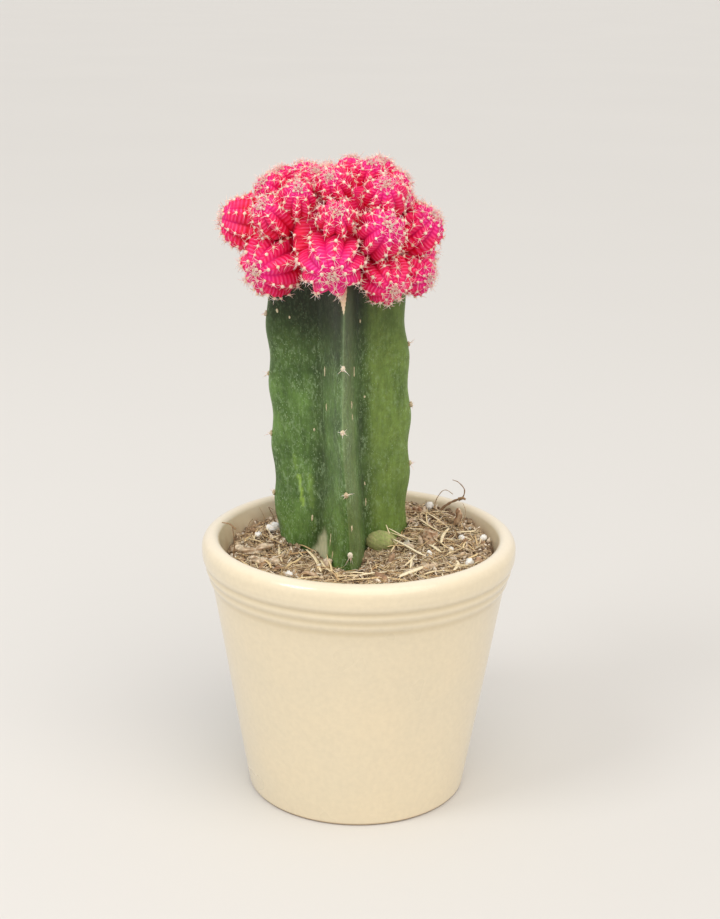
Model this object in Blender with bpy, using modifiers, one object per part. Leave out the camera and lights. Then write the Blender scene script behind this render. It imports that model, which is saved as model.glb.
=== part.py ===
"""Potted moon cactus: a red grafted cactus on a three-ribbed green stem, in a glazed ceramic pot.

Metres, +Z up. The origin is the centre of the pot's foot, and -Y is the front. Directions on the
plant are given by an azimuth in degrees, 0 towards the front and 90 towards +X, and an elevation
above level. The plant, its stem, the potting mix and the pot are four solids that stay apart.
"""

import math
import random
from typing import NamedTuple

import bmesh
import bpy
from mathutils import Vector

MM = 0.001
GAP = 0.3 * MM  # between solids that touch on the real object
CUT_GAP = 1.6 * GAP  # for a hole round a curved piece: its facets bring the two sides closer

# Pot
POT_HEIGHT = 76.9 * MM
RIM_RADIUS = 45.0 * MM
LIP_CREST_RADIUS = 41.8 * MM
LIP_HEIGHT = 3.3 * MM  # of the rounded crest's outside
LIP_INSIDE = (LIP_CREST_RADIUS, 75.0 * MM)  # centre of the crest's inner round
LIP_INSIDE_RADIUS = 1.9 * MM
LIP_START_Z = 73.6 * MM  # where the wall's inside turns into the lip
GROOVES = (  # radius and height down the outside, from the rim band over three soft steps
    (44.95 * MM, 71.4 * MM), (44.6 * MM, 69.9 * MM), (43.75 * MM, 68.8 * MM), (44.1 * MM, 67.4 * MM),
    (43.1 * MM, 65.8 * MM), (43.25 * MM, 64.4 * MM), (42.25 * MM, 62.9 * MM),
)
BODY_TOP = (41.95 * MM, 61.6 * MM)  # where the straight side meets the lowest groove
BASE_RADIUS = 31.9 * MM
BASE_CORNER = 1.2 * MM
POT_WALL = 4.6 * MM
FLOOR_TOP = 6.5 * MM
FLOOR_FILLET = 4.0 * MM
FOOT_INNER_RADIUS = 25.5 * MM
FOOT_RECESS = 1.6 * MM
FOOT_SLOPE = 1.0 * MM
DRAIN_RADIUS = 6.0 * MM
POT_STEPS = 44

# Potting mix
SOIL_LEVEL = 70.4 * MM
SOIL_TILT = 0.045  # rise to the right, per unit of length
SOIL_BANK = 0.1  # rise behind the middle, per unit of length
SOIL_LUMP = 0.75 * MM
SOIL_SIDES = 36
SOIL_RINGS = (1.0, 0.91, 0.8, 0.68, 0.54, 0.36, 0.18)  # shares of the surface's radius
SOIL_SHOULDER_Z = 64.0 * MM
SOIL_SEED = 5
STEM_HOLE_TOP_Z = 90.0 * MM  # well above the surface
WALL_GAP = 1.5 * GAP  # a little over the gap, because both sides are faceted
CRUMBS = {"bark": 7, "straw": 11, "perlite": 11}  # how many of each lie on the surface
CRUMB_SINK = {"bark": 0.2 * MM, "straw": 0.05 * MM, "perlite": 0.35 * MM}
CRUMB_FIELD = (14 * MM, 34 * MM)  # nearest and furthest from the pot's axis
CRUMB_CLEAR = 17 * MM  # from the stem's axis

# Stem
STEM_FOOT_Z = 55.0 * MM
STEM_TOP_Z = 151.0 * MM
STEM_FOOT_CENTRE = (-4.3 * MM, 5.5 * MM)  # at the soil
STEM_TOP_CENTRE = (-7.2 * MM, 5.5 * MM)
RIB_AZIMUTHS = (4.1, 120.0, 244.0)
RIB_TWIST = (1.6, 80.0 * MM)  # degrees to each side, and the height in which it comes round
RIB_REACH = (22.6 * MM, 22.8 * MM, 23.0 * MM)
RIB_FIRST_AREOLE = (75.5 * MM, 74.8 * MM, 65.7 * MM)
AREOLE_SPACING = 17.9 * MM
STEM_LEVELS = 20
VALLEYS = (  # radius at the soil and higher up, of the valley after each rib
    (7.2 * MM, 6.2 * MM), (8.4 * MM, 7.0 * MM), (9.2 * MM, 6.2 * MM),
)
VALLEY_RISE = 26.0 * MM  # height in which a valley narrows from the first radius to the second
RIB_BULGE = 1.3 * MM  # how far a rib draws in towards its ends
RIB_WAVE = 0.5 * MM
RIB_BLUNT = 0.42  # how much of a rib's thickness it has from its edge on
RIB_ROUND = 3.0 * MM  # how fast the blunt edge rounds over
RIB_FLARE = 1.8
RIB_STEPS = (0.0, 0.05, 0.2, 0.55, 1.0)  # shares of a rib's depth, from its edge to its valley
FOOT_SWELL = 0.4  # how much thicker a rib is at the soil
FOOT_RISE = 6.0 * MM  # how fast that fades upwards
AREOLE_RADIUS = 0.95 * MM
STEM_SPINE = (2.4 * MM, 0.22 * MM)  # length and radius
STEM_SPINE_SPREAD = 34
STEM_SEED = 11
CALLUS_CENTRE = (6.4 * MM, 3.0 * MM, 73.4 * MM)
CALLUS_RADII = (4.6 * MM, 3.0 * MM, 3.2 * MM)
BEVEL_START_Z = 143.8 * MM
BEVEL_SLOPE = 0.36  # how far the cut rib ends lean in, per unit of height

# Scion
SCION_CENTRE = Vector((-7.0, 4.0, 163.0)) * MM
BODY_RADII = (21.0 * MM, 14.6 * MM)  # level and upright
BODY_RIBS = 9
BODY_TURN = 0.35
BODY_ROWS = (22, 45, 68, 90, 112, 135, 158)  # degrees from the crown
BODY_SPINE_ROW = 72
OFFSET_ROWS = (28, 56, 84, 122)
OFFSET_SQUASH = 0.95
OFFSET_FOOT = 1.7
SMALL_OFFSET = 6.0  # millimetres: a smaller offset has one rib fewer
RIB_DEPTH = 0.26
CROWN_DIMPLE = (0.05, 0.35)  # share of the radius, and how wide in radians
SPINES_PER_OFFSET = 5
SPINE_ROWS = (16, 54)
SPINE = (2.7 * MM, 0.26 * MM)  # length and radius
SPINE_ROOT = 1.1 * MM
SPINE_TIP = 0.04 * MM
SPINE_SPLAY = 0.45
SEAT_START_Z = 132.0 * MM  # below the scion, where the cutter of its seat begins
SCION_SEED = 23


class Offset(NamedTuple):
    """A globular offset: its place round the scion's centre, its size and where its crown points."""

    azimuth: float
    out: float  # millimetres from the scion's axis
    rise: float  # millimetres above its centre
    radius: float  # millimetres
    crown_azimuth: float
    crown_rise: float  # degrees above level


OFFSETS = (
    # low whorl, hanging over the stem's edge
    Offset(-60, 19.6, -7.6, 8.9, -36, -9), Offset(-3, 20.6, -5.4, 8.7, 0, 5),
    Offset(41, 19.8, -10.2, 7.0, 22, -22), Offset(74, 21.8, -10.6, 6.0, 52, -8),
    Offset(112, 21.5, -8.2, 7.8, 104, -8), Offset(150, 21.0, -7.6, 8.4, 150, -4),
    Offset(187, 20.6, -8.2, 8.0, 190, -8), Offset(221, 21.4, -8.0, 8.2, 224, -6),
    Offset(258, 20.6, -9.4, 6.4, 254, -12),
    # middle whorl
    Offset(-86, 25.2, 2.2, 7.2, -85, 12), Offset(-48, 23.2, 6.4, 5.4, -36, 38),
    Offset(0, 21.8, 6.7, 5.3, 2, 28), Offset(32, 22.4, 2.6, 6.6, 23, 30),
    Offset(76, 22.8, 1.7, 6.8, 58, 38), Offset(104, 21.8, 1.8, 6.0, 100, 20),
    Offset(132, 23.4, 2.4, 6.7, 134, 14), Offset(162, 24.2, 3.6, 6.2, 160, 18),
    Offset(193, 23.8, 3.2, 6.7, 196, 14), Offset(224, 24.0, 3.8, 6.2, 226, 20),
    Offset(251, 24.2, 3.6, 5.6, 246, 22),
    # upper whorl
    Offset(-74, 18.8, 11.8, 4.3, -40, 34), Offset(-32, 19.3, 10.8, 5.0, 4, 46),
    Offset(-3, 15.0, 14.4, 5.1, -14, 34), Offset(43, 18.8, 11.4, 5.9, 0, 42),
    Offset(67, 17.8, 9.8, 4.2, 30, 22), Offset(96, 15.6, 12.0, 4.6, 88, 38),
    Offset(128, 17.4, 11.0, 5.6, 130, 36), Offset(165, 18.8, 11.4, 5.2, 162, 40),
    Offset(201, 19.0, 10.4, 5.6, 204, 36), Offset(237, 18.6, 10.6, 5.1, 238, 40),
    # top
    Offset(-118, 16.4, 12.6, 4.1, -60, 54), Offset(-40, 9.0, 14.2, 4.9, 0, 50),
    Offset(155, 8.0, 15.0, 4.4, 150, 74), Offset(112, 12.0, 15.0, 5.0, 20, 60),
    Offset(60, 9.6, 15.8, 4.5, 20, 62), Offset(192, 13.4, 12.0, 4.8, 190, 62),
    Offset(236, 11.0, 13.4, 4.7, 230, 66),
)


def clear_scene() -> None:
    """Remove every object that the scene starts with."""
    for item in list(bpy.data.objects):
        bpy.data.objects.remove(item, do_unlink=True)


def new_collection(name: str) -> bpy.types.Collection:
    """A collection of that name under the scene."""
    made = bpy.data.collections.new(name)
    bpy.context.scene.collection.children.link(made)
    return made


def material(name: str, colour: tuple, roughness: float) -> bpy.types.Material:
    """A Principled material of one linear colour."""
    made = bpy.data.materials.new(name)
    made.use_nodes = True
    shader = made.node_tree.nodes["Principled BSDF"]
    shader.inputs["Base Color"].default_value = (*colour, 1.0)
    shader.inputs["Roughness"].default_value = roughness
    shader.inputs["Metallic"].default_value = 0.0
    return made


def add_object(name: str, mesh: bpy.types.Mesh, home: bpy.types.Collection) -> bpy.types.Object:
    """An object for the mesh, in the collection."""
    made = bpy.data.objects.new(name, mesh)
    home.objects.link(made)
    return made


def mesh_from(name: str, build: bmesh.types.BMesh) -> bpy.types.Mesh:
    """A mesh from a bmesh, with its normals facing out."""
    bmesh.ops.recalc_face_normals(build, faces=build.faces)
    mesh = bpy.data.meshes.new(name)
    build.to_mesh(mesh)
    build.free()
    return mesh


def loft(name: str, rings: list, poles: tuple) -> bpy.types.Mesh:
    """A closed skin through rings of equal length, with a point beyond each end ring."""
    build = bmesh.new()
    rows = [[build.verts.new(point) for point in ring] for ring in rings]
    sides = len(rows[0])
    for lower, upper in zip(rows, rows[1:]):
        for i in range(sides):
            j = (i + 1) % sides
            build.faces.new((lower[i], lower[j], upper[j], upper[i]))
    for row, pole in ((rows[0], poles[0]), (rows[-1], poles[1])):
        tip = build.verts.new(pole)
        for i in range(sides):
            build.faces.new((row[i], row[(i + 1) % sides], tip))
    bmesh.ops.triangulate(build, faces=build.faces)
    return mesh_from(name, build)


def evaluated_mesh(item: bpy.types.Object) -> bpy.types.Mesh:
    """A mesh of the object with its modifiers applied."""
    graph = bpy.context.evaluated_depsgraph_get()
    return bpy.data.meshes.new_from_object(item.evaluated_get(graph))


def cut(item: bpy.types.Object, cutter: bpy.types.Object) -> None:
    """Cut the object by a cutter, which stays in the scene as a wire guide."""
    cutter.hide_render = True
    cutter.display_type = "WIRE"
    bpy.context.view_layer.update()
    boolean(item, "DIFFERENCE", cutter)


def boolean(item: bpy.types.Object, operation: str, other) -> None:
    """Join or cut the object by another object or a collection, and apply it."""
    step = item.modifiers.new("Join", "BOOLEAN")
    step.operation = operation
    step.solver = "EXACT"
    if isinstance(other, bpy.types.Collection):
        step.operand_type = "COLLECTION"
        step.collection = other
    else:
        step.object = other
    mesh = evaluated_mesh(item)
    item.modifiers.clear()
    item.data = mesh


def keep_main_shell(item: bpy.types.Object) -> None:
    """Fill hollows that a union sealed and drop loose scraps: only the largest shell stays."""
    build = bmesh.new()
    build.from_mesh(item.data)
    unseen = set(build.verts)
    shells = []
    while unseen:
        stack = [unseen.pop()]
        shell = set(stack)
        while stack:
            for edge in stack.pop().link_edges:
                for vert in edge.verts:
                    if vert in unseen:
                        unseen.discard(vert)
                        shell.add(vert)
                        stack.append(vert)
        shells.append(shell)
    largest = max(shells, key=len)
    drop = [vert for vert in build.verts if vert not in largest]
    bmesh.ops.delete(build, geom=drop, context="VERTS")
    build.to_mesh(item.data)
    build.free()


def fuse(item: bpy.types.Object, repeats: bpy.types.Collection) -> None:
    """Join a collection of repeats to the object by one union, then remove them."""
    boolean(item, "UNION", repeats)
    for piece in list(repeats.objects):
        bpy.data.objects.remove(piece, do_unlink=True)
    bpy.data.collections.remove(repeats)
    keep_main_shell(item)


def direction(azimuth: float, elevation: float) -> Vector:
    """The unit vector of an azimuth and an elevation in degrees."""
    turn, rise = math.radians(azimuth), math.radians(elevation)
    level = math.cos(rise)
    return Vector((level * math.sin(turn), -level * math.cos(turn), math.sin(rise)))


def blend(low: float, high: float, share: float) -> float:
    """The value that lies the given share of the way from low to high."""
    return low + (high - low) * share


def clamp(value: float) -> float:
    """The value held between 0 and 1."""
    return min(1.0, max(0.0, value))


def arc(centre: tuple, radius: tuple, start: float, end: float, steps: int) -> list:
    """Points of an elliptical arc, by angle in degrees."""
    points = []
    for i in range(steps + 1):
        angle = math.radians(blend(start, end, i / steps))
        points.append((centre[0] + radius[0] * math.cos(angle), centre[1] + radius[1] * math.sin(angle)))
    return points


# ---------------------------------------------------------------- pot

def pot_inner_radius(z: float) -> float:
    """Inner radius of the pot's wall at a height: it runs level with the outside, below the lip."""
    slope = (BODY_TOP[0] - BASE_RADIUS) / BODY_TOP[1]
    return BASE_RADIUS + slope * z - POT_WALL


def pot_profile() -> list:
    """The wall's closed outline: down the outside, under the foot and up the inside."""
    lip = (RIM_RADIUS - LIP_CREST_RADIUS, LIP_HEIGHT)
    outline = arc((LIP_CREST_RADIUS, POT_HEIGHT - LIP_HEIGHT), lip, 90, 0, 4)
    outline += [*GROOVES, BODY_TOP]
    corner = (BASE_RADIUS - BASE_CORNER, BASE_CORNER)
    outline += arc(corner, (BASE_CORNER, BASE_CORNER), 0, -90, 2)
    outline += [
        (FOOT_INNER_RADIUS, 0.0), (FOOT_INNER_RADIUS - FOOT_SLOPE, FOOT_RECESS),
        (DRAIN_RADIUS, FOOT_RECESS), (DRAIN_RADIUS, FLOOR_TOP),
    ]
    fillet_top = FLOOR_TOP + FLOOR_FILLET
    fillet = (pot_inner_radius(fillet_top) - FLOOR_FILLET, fillet_top)
    outline += arc(fillet, (FLOOR_FILLET, FLOOR_FILLET), -90, 0, 2)
    outline.append((pot_inner_radius(LIP_START_Z), LIP_START_Z))
    outline += arc(LIP_INSIDE, (LIP_INSIDE_RADIUS, LIP_INSIDE_RADIUS), 160, 112, 2)
    return outline


def build_pot(home: bpy.types.Collection) -> None:
    """Pot, turned from its outline, with three grooves under the rim and a drain hole."""
    build = bmesh.new()
    verts = [build.verts.new((radius, 0.0, z)) for radius, z in pot_profile()]
    for i, vert in enumerate(verts):
        build.edges.new((vert, verts[(i + 1) % len(verts)]))
    mesh = bpy.data.meshes.new("pot")
    build.to_mesh(mesh)
    build.free()
    pot = add_object("pot", mesh, home)
    turn = pot.modifiers.new("Turn", "SCREW")
    turn.axis = "Z"
    turn.angle = math.tau
    turn.steps = POT_STEPS
    turn.render_steps = POT_STEPS
    turn.use_merge_vertices = True
    turn.merge_threshold = 0.00001
    turn.use_smooth_shade = True
    pot.data.materials.append(material("glazed_stoneware", (0.82, 0.71, 0.52), 0.2))


# ---------------------------------------------------------------- stem

def stem_centre(z: float) -> tuple:
    """The stem's axis at a height: it leans a little to the left."""
    share = clamp((z - SOIL_LEVEL) / (STEM_TOP_Z - SOIL_LEVEL))
    return (
        blend(STEM_FOOT_CENTRE[0], STEM_TOP_CENTRE[0], share),
        blend(STEM_FOOT_CENTRE[1], STEM_TOP_CENTRE[1], share),
    )


def rib_radius(rib: int, z: float) -> float:
    """How far a rib's edge stands from the axis: a long bulge, with a swelling under each areole."""
    height = clamp((z - SOIL_LEVEL) / (STEM_TOP_Z - SOIL_LEVEL))
    bulge = RIB_REACH[rib] - RIB_BULGE * (2.0 * height - 1.1) ** 2
    phase = (z - RIB_FIRST_AREOLE[rib]) / AREOLE_SPACING
    return bulge + RIB_WAVE * math.cos(math.tau * (phase + 0.18))


def foot_share(z: float) -> float:
    """How much of the foot's swelling there is at a height: all of it at the soil."""
    return math.exp(-max(0.0, z - SOIL_LEVEL) / FOOT_RISE)


def rib_azimuth(rib: int, z: float) -> float:
    """Which way a rib stands at a height: the stem twists a little one way and back."""
    return RIB_AZIMUTHS[rib] + RIB_TWIST[0] * math.cos(math.tau * (z - SOIL_LEVEL) / RIB_TWIST[1])


def valley_radius(rib: int, z: float) -> float:
    """How far the valley after a rib lies from the axis: it fills out towards the soil."""
    return blend(*VALLEYS[rib % 3], clamp((z - SOIL_LEVEL) / VALLEY_RISE))


def rib_half_thickness(inward: float, depth: float, valley: float) -> float:
    """Half a rib's thickness at a distance in from its edge: blunt at the edge, flared to the valley."""
    blunt = RIB_BLUNT * (1.0 - math.exp(-inward / RIB_ROUND))
    return valley * (blunt + (1.0 - RIB_BLUNT) * (inward / depth) ** RIB_FLARE)


def stem_section(z: float, grow: float) -> list:
    """The three-ribbed outline at a height, grown outwards by an allowance.

    Each rib has a blunt edge and nearly straight flanks down to its valleys. Near the top the rib
    edges are cut back by a steep plane.
    """
    axis = Vector((*stem_centre(z), z))
    points = []
    for rib, azimuth in enumerate(RIB_AZIMUTHS):
        before = (azimuth - RIB_AZIMUTHS[rib - 1]) % 360 / 2.0
        after = (RIB_AZIMUTHS[(rib + 1) % 3] - azimuth) % 360 / 2.0
        turned = rib_azimuth(rib, z)
        edge_way, side_way = direction(turned, 0.0), direction(turned + 90.0, 0.0)
        reach = rib_radius(rib, z)
        limit = reach - max(0.0, z - BEVEL_START_Z) * BEVEL_SLOPE
        # one side runs out from its valley, which the rib before has made, and the other back in
        for hand, half_gap, steps in ((-1, before, RIB_STEPS[3:0:-1]), (1, after, RIB_STEPS)):
            turn = math.radians(half_gap)
            valley = valley_radius(rib if hand > 0 else rib - 1, z)
            depth = reach - valley * math.cos(turn)
            for step in steps:
                inward = depth * step
                half = rib_half_thickness(inward, depth, valley * math.sin(turn))
                half *= 1.0 + FOOT_SWELL * foot_share(z) * (1.0 - step)
                along = min(reach - inward, limit)
                spread = Vector(edge_way * along + side_way * hand * half)
                points.append(axis + spread + spread.normalized() * grow)
    return points


def areoles() -> list:
    """The place and outward way of each areole on the rib edges, above the soil and below the graft."""
    found = []
    for rib in range(len(RIB_AZIMUTHS)):
        z = RIB_FIRST_AREOLE[rib]
        while z < BEVEL_START_Z:
            if z > SOIL_LEVEL + 2.0 * MM:
                centre = stem_centre(z)
                way = direction(rib_azimuth(rib, z), 0.0)
                found.append((Vector((centre[0], centre[1], z)) + way * rib_radius(rib, z), way))
            z += AREOLE_SPACING
    return found


def needle_mesh(length: float, radius: float) -> bpy.types.Mesh:
    """A three-sided needle along +Z, with its root below zero."""
    build = bmesh.new()
    bmesh.ops.create_cone(build, cap_ends=True, segments=3, radius1=radius, radius2=SPINE_TIP,
                          depth=length + SPINE_ROOT)
    bmesh.ops.translate(build, verts=build.verts, vec=(0.0, 0.0, (length - SPINE_ROOT) / 2.0))
    return mesh_from("needle", build)


def place_needle(home: bpy.types.Collection, mesh: bpy.types.Mesh, foot: Vector, way: Vector) -> None:
    """One needle standing on a point, along a direction."""
    needle = add_object("needle", mesh, home)
    needle.rotation_mode = "QUATERNION"
    needle.rotation_quaternion = way.to_track_quat("Z", "X")
    needle.location = foot


def build_stem(home: bpy.types.Collection) -> None:
    """The green rootstock with its areole pads and short spines, fused into one solid."""
    top = STEM_TOP_Z - GAP
    heights = [blend(STEM_FOOT_Z, top, i / STEM_LEVELS) for i in range(STEM_LEVELS + 1)]
    rings = [stem_section(z, 0.0) for z in heights]
    poles = [Vector((*stem_centre(z), z)) for z in (heights[0], heights[-1])]
    stem = add_object("stem", loft("stem", rings, poles), home)
    stem.data.materials.append(material("stem_skin", (0.07, 0.16, 0.045), 0.45))
    repeats = new_collection("stem_repeats")
    needle = needle_mesh(*STEM_SPINE)
    draw = random.Random(STEM_SEED)
    for place, way in areoles():
        build = bmesh.new()
        bmesh.ops.create_icosphere(build, subdivisions=1, radius=AREOLE_RADIUS)
        pad = add_object("pad", mesh_from("pad", build), repeats)
        pad.location = place - way * 0.1 * MM
        for spread in (-STEM_SPINE_SPREAD, STEM_SPINE_SPREAD):
            tilt = draw.uniform(-45, 20)
            side = Vector((-way.y, way.x, 0.0)) * math.tan(math.radians(spread))
            lean = Vector((0.0, 0.0, math.tan(math.radians(tilt))))
            place_needle(repeats, needle, place + way * 0.2 * MM, (way + side + lean).normalized())
    callus_lobe("callus", 0.0, repeats)
    bpy.context.view_layer.update()
    fuse(stem, repeats)


def callus_lobe(name: str, grow: float, home: bpy.types.Collection) -> bpy.types.Object:
    """The rounded swelling at the stem's foot, grown by an allowance."""
    build = bmesh.new()
    bmesh.ops.create_icosphere(build, subdivisions=2, radius=1.0)
    bmesh.ops.scale(build, verts=build.verts, vec=[radius + grow for radius in CALLUS_RADII])
    lobe = add_object(name, mesh_from(name, build), home)
    lobe.location = CALLUS_CENTRE
    return lobe


def stem_cutter(name: str, low: float, high: float, home: bpy.types.Collection) -> bpy.types.Object:
    """A prism of the stem's section, a gap larger all round, between two heights, as a guide."""
    levels = max(2, round((high - low) / (4.0 * MM)))
    heights = [blend(low, high, i / levels) for i in range(levels + 1)]
    rings = [stem_section(z, CUT_GAP) for z in heights]
    poles = [Vector((*stem_centre(z), z)) for z in (heights[0], heights[-1])]
    return add_object(name, loft(name, rings, poles), home)


# ---------------------------------------------------------------- potting mix

def soil_height(x: float, y: float) -> float:
    """The mix's surface: it rises to the right and to the back, with crumbly lumps."""
    slope = SOIL_TILT * x + SOIL_BANK * max(0.0, y)
    lumps = math.sin(x * 610 + y * 340 + 0.6) * math.sin(y * 720 - x * 260 + 1.9)
    lumps += 0.6 * math.sin(x * 1310 - y * 900 + 2.2) * math.sin(y * 1170 + x * 480)
    return SOIL_LEVEL + slope + SOIL_LUMP * lumps


def build_soil(home: bpy.types.Collection, cutters: bpy.types.Collection) -> None:
    """Potting mix that fills the pot, with bark, straw and perlite fused in, and the stem's hole."""
    def ring(radius: float, z: float = -1.0) -> list:
        points = []
        for i in range(SOIL_SIDES):
            turn = math.tau * i / SOIL_SIDES
            x, y = radius * math.cos(turn), radius * math.sin(turn)
            points.append(Vector((x, y, soil_height(x, y) if z < 0 else z)))
        return points

    floor = FLOOR_TOP + GAP
    shoulder = floor + FLOOR_FILLET + 1.5 * MM
    edge = pot_inner_radius(SOIL_LEVEL) - WALL_GAP
    rings = [ring(pot_inner_radius(floor) - FLOOR_FILLET - GAP, floor)]
    rings.append(ring(pot_inner_radius(shoulder) - WALL_GAP, shoulder))
    rings.append(ring(pot_inner_radius(SOIL_SHOULDER_Z) - WALL_GAP, SOIL_SHOULDER_Z))
    rings += [ring(edge * share) for share in SOIL_RINGS]
    poles = (Vector((0.0, 0.0, floor)), Vector((0.0, 0.0, soil_height(0.0, 0.0))))
    soil = add_object("soil", loft("soil", rings, poles), home)
    soil.data.materials.append(material("potting_mix", (0.3, 0.2, 0.12), 0.95))

    repeats = new_collection("soil_repeats")
    draw = random.Random(SOIL_SEED)
    for kind, count in CRUMBS.items():
        for _ in range(count):
            place_crumb(repeats, draw, kind)
    bpy.context.view_layer.update()
    fuse(soil, repeats)
    cut(soil, stem_cutter("stem_hole", STEM_FOOT_Z - GAP, STEM_HOLE_TOP_Z, cutters))
    cut(soil, callus_lobe("callus_hole", CUT_GAP, cutters))
    keep_main_shell(soil)


def place_crumb(home: bpy.types.Collection, draw: random.Random, kind: str) -> None:
    """One piece of the mix, half sunk in the surface and clear of the wall and the stem."""
    while True:
        azimuth = draw.uniform(0, 360)
        radius = draw.uniform(*CRUMB_FIELD)
        spot = direction(azimuth, 0.0) * radius
        from_stem = (spot - Vector((*stem_centre(SOIL_LEVEL), 0.0))).length
        if from_stem > CRUMB_CLEAR:
            break
    build = bmesh.new()
    if kind == "straw":
        bmesh.ops.create_cone(build, cap_ends=True, segments=4, radius1=0.7 * MM, radius2=0.5 * MM,
                              depth=draw.uniform(7, 11) * MM)
        size = Vector((1.0, 1.0, 1.0))
    elif kind == "bark":
        bmesh.ops.create_cube(build, size=1.0)
        size = Vector((draw.uniform(2.0, 3.2), draw.uniform(1.6, 2.4), draw.uniform(5, 8.5))) * MM
    else:
        bmesh.ops.create_icosphere(build, subdivisions=1, radius=1.0)
        size = Vector((1.4, 1.1, 1.2)) * draw.uniform(0.85, 1.2) * MM
    bmesh.ops.scale(build, verts=build.verts, vec=size)
    crumb = add_object(kind, mesh_from(kind, build), home)
    crumb.rotation_euler = (math.radians(draw.uniform(80, 97)), 0.0, draw.uniform(0, math.tau))
    # long pieces lie along the wall, so that their ends stay clear of it
    if kind != "perlite":
        crumb.rotation_euler[2] = math.radians(azimuth + draw.uniform(55, 125))
    crumb.location = (spot.x, spot.y, soil_height(spot.x, spot.y) - CRUMB_SINK[kind])


# ---------------------------------------------------------------- scion

class Globe(NamedTuple):
    """A ribbed globe: its place, its two radii, and how its crown is turned."""

    centre: Vector
    crown: Vector
    radii: tuple  # across, and towards the crown
    foot: float  # how much longer the half away from the crown is
    ribs: int
    turn: float

    def local_point(self, turn: float, polar: float) -> Vector:
        """A point of the skin in the globe's own axes: round ribs with sharp valleys between."""
        wave = abs(math.cos(self.ribs * turn / 2.0))
        depth = RIB_DEPTH * math.sin(polar) ** 0.6 if polar < math.pi else 0.0
        dimple = CROWN_DIMPLE[0] * math.exp(-((polar / CROWN_DIMPLE[1]) ** 2))
        across = self.radii[0] * math.sin(polar) * (1.0 - depth * (1.0 - wave))
        along = self.radii[1] * math.cos(polar) * (1.0 - dimple)
        if along < 0.0:
            along *= self.foot
        spun = turn + self.turn
        return Vector((across * math.cos(spun), across * math.sin(spun), along))

    def point(self, turn: float, polar: float) -> Vector:
        """A point of the skin, placed."""
        return self.centre + self.crown.to_track_quat("Z", "Y") @ self.local_point(turn, polar)

    def rib_point(self, rib: int, polar: float) -> tuple:
        """A point on a rib's edge, and the outward way there."""
        turn = math.tau * rib / self.ribs
        spun = turn + self.turn
        way = Vector((math.sin(polar) * math.cos(spun), math.sin(polar) * math.sin(spun), math.cos(polar)))
        return self.point(turn, polar), self.crown.to_track_quat("Z", "Y") @ way

    def mesh(self, name: str, rows: tuple) -> bpy.types.Mesh:
        """The skin, as rings at angles in degrees from the crown, two sides to a rib."""
        rings = []
        for row in rows:
            polar = math.radians(row)
            rings.append([self.point(math.pi * i / self.ribs, polar) for i in range(2 * self.ribs)])
        return loft(name, rings, (self.point(0.0, 0.0), self.point(0.0, math.pi)))


def offset_globe(offset: Offset, turn: float) -> Globe:
    """The globe of an offset. Its longer foot reaches into the body."""
    centre = SCION_CENTRE + direction(offset.azimuth, 0.0) * offset.out * MM
    centre.z += offset.rise * MM
    radius = offset.radius * MM
    crown = direction(offset.crown_azimuth, offset.crown_rise)
    ribs = 7 if offset.radius < SMALL_OFFSET else 8
    return Globe(centre, crown, (radius, OFFSET_SQUASH * radius), OFFSET_FOOT, ribs, turn)


def build_scion(home: bpy.types.Collection, cutters: bpy.types.Collection) -> None:
    """The grafted red cactus: a ribbed body crowded with ribbed offsets and cream spines."""
    up = Vector((0.0, 0.0, 1.0))
    body = Globe(SCION_CENTRE, up, BODY_RADII, 1.0, BODY_RIBS, BODY_TURN)
    scion = add_object("scion", body.mesh("scion", BODY_ROWS), home)
    scion.data.materials.append(material("scion_skin", (0.78, 0.03, 0.13), 0.4))
    repeats = new_collection("scion_repeats")
    needle = needle_mesh(*SPINE)
    draw = random.Random(SCION_SEED)
    for number, offset in enumerate(OFFSETS):
        globe = offset_globe(offset, draw.uniform(0, math.tau))
        add_object("offset", globe.mesh("offset", OFFSET_ROWS), repeats)
        for spine in range(SPINES_PER_OFFSET):
            rib = round(spine * globe.ribs / SPINES_PER_OFFSET)
            polar = math.radians(SPINE_ROWS[(spine + number) % 2] + draw.uniform(-6, 6))
            foot, way = globe.rib_point(rib, polar)
            splay = Vector([draw.uniform(-1, 1) for _ in range(3)]) * SPINE_SPLAY
            place_needle(repeats, needle, foot, (way + splay).normalized())
    for rib in range(BODY_RIBS):
        place_needle(repeats, needle, *body.rib_point(rib, math.radians(BODY_SPINE_ROW)))
    bpy.context.view_layer.update()
    fuse(scion, repeats)
    cut(scion, stem_cutter("graft_seat", SEAT_START_Z, STEM_TOP_Z, cutters))
    keep_main_shell(scion)


def main() -> None:
    """Build the four solids."""
    clear_scene()
    plant = new_collection("potted_moon_cactus")
    cutters = new_collection("cutters")
    build_pot(plant)
    build_stem(plant)
    build_soil(plant, cutters)
    build_scion(plant, cutters)
    for item in plant.objects:
        item.data.shade_smooth()
        item.data.set_sharp_from_angle(angle=math.radians(40))


main()
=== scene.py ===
"""The finished look of a potted moon cactus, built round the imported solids.

Metres, +Z up, and -Y is the front. A direction on the plant is an azimuth in degrees, 0 towards the
front and 90 towards +X, with an elevation above level. Every piece is one mesh at the origin, worked
out as whole numpy arrays. Sizes and places are millimetres unless they say otherwise, and
Sculpt.add turns them to metres.
"""

import logging
import math
from dataclasses import dataclass
from enum import Enum

import bpy
import numpy as np
from mathutils import Matrix, Vector


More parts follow.
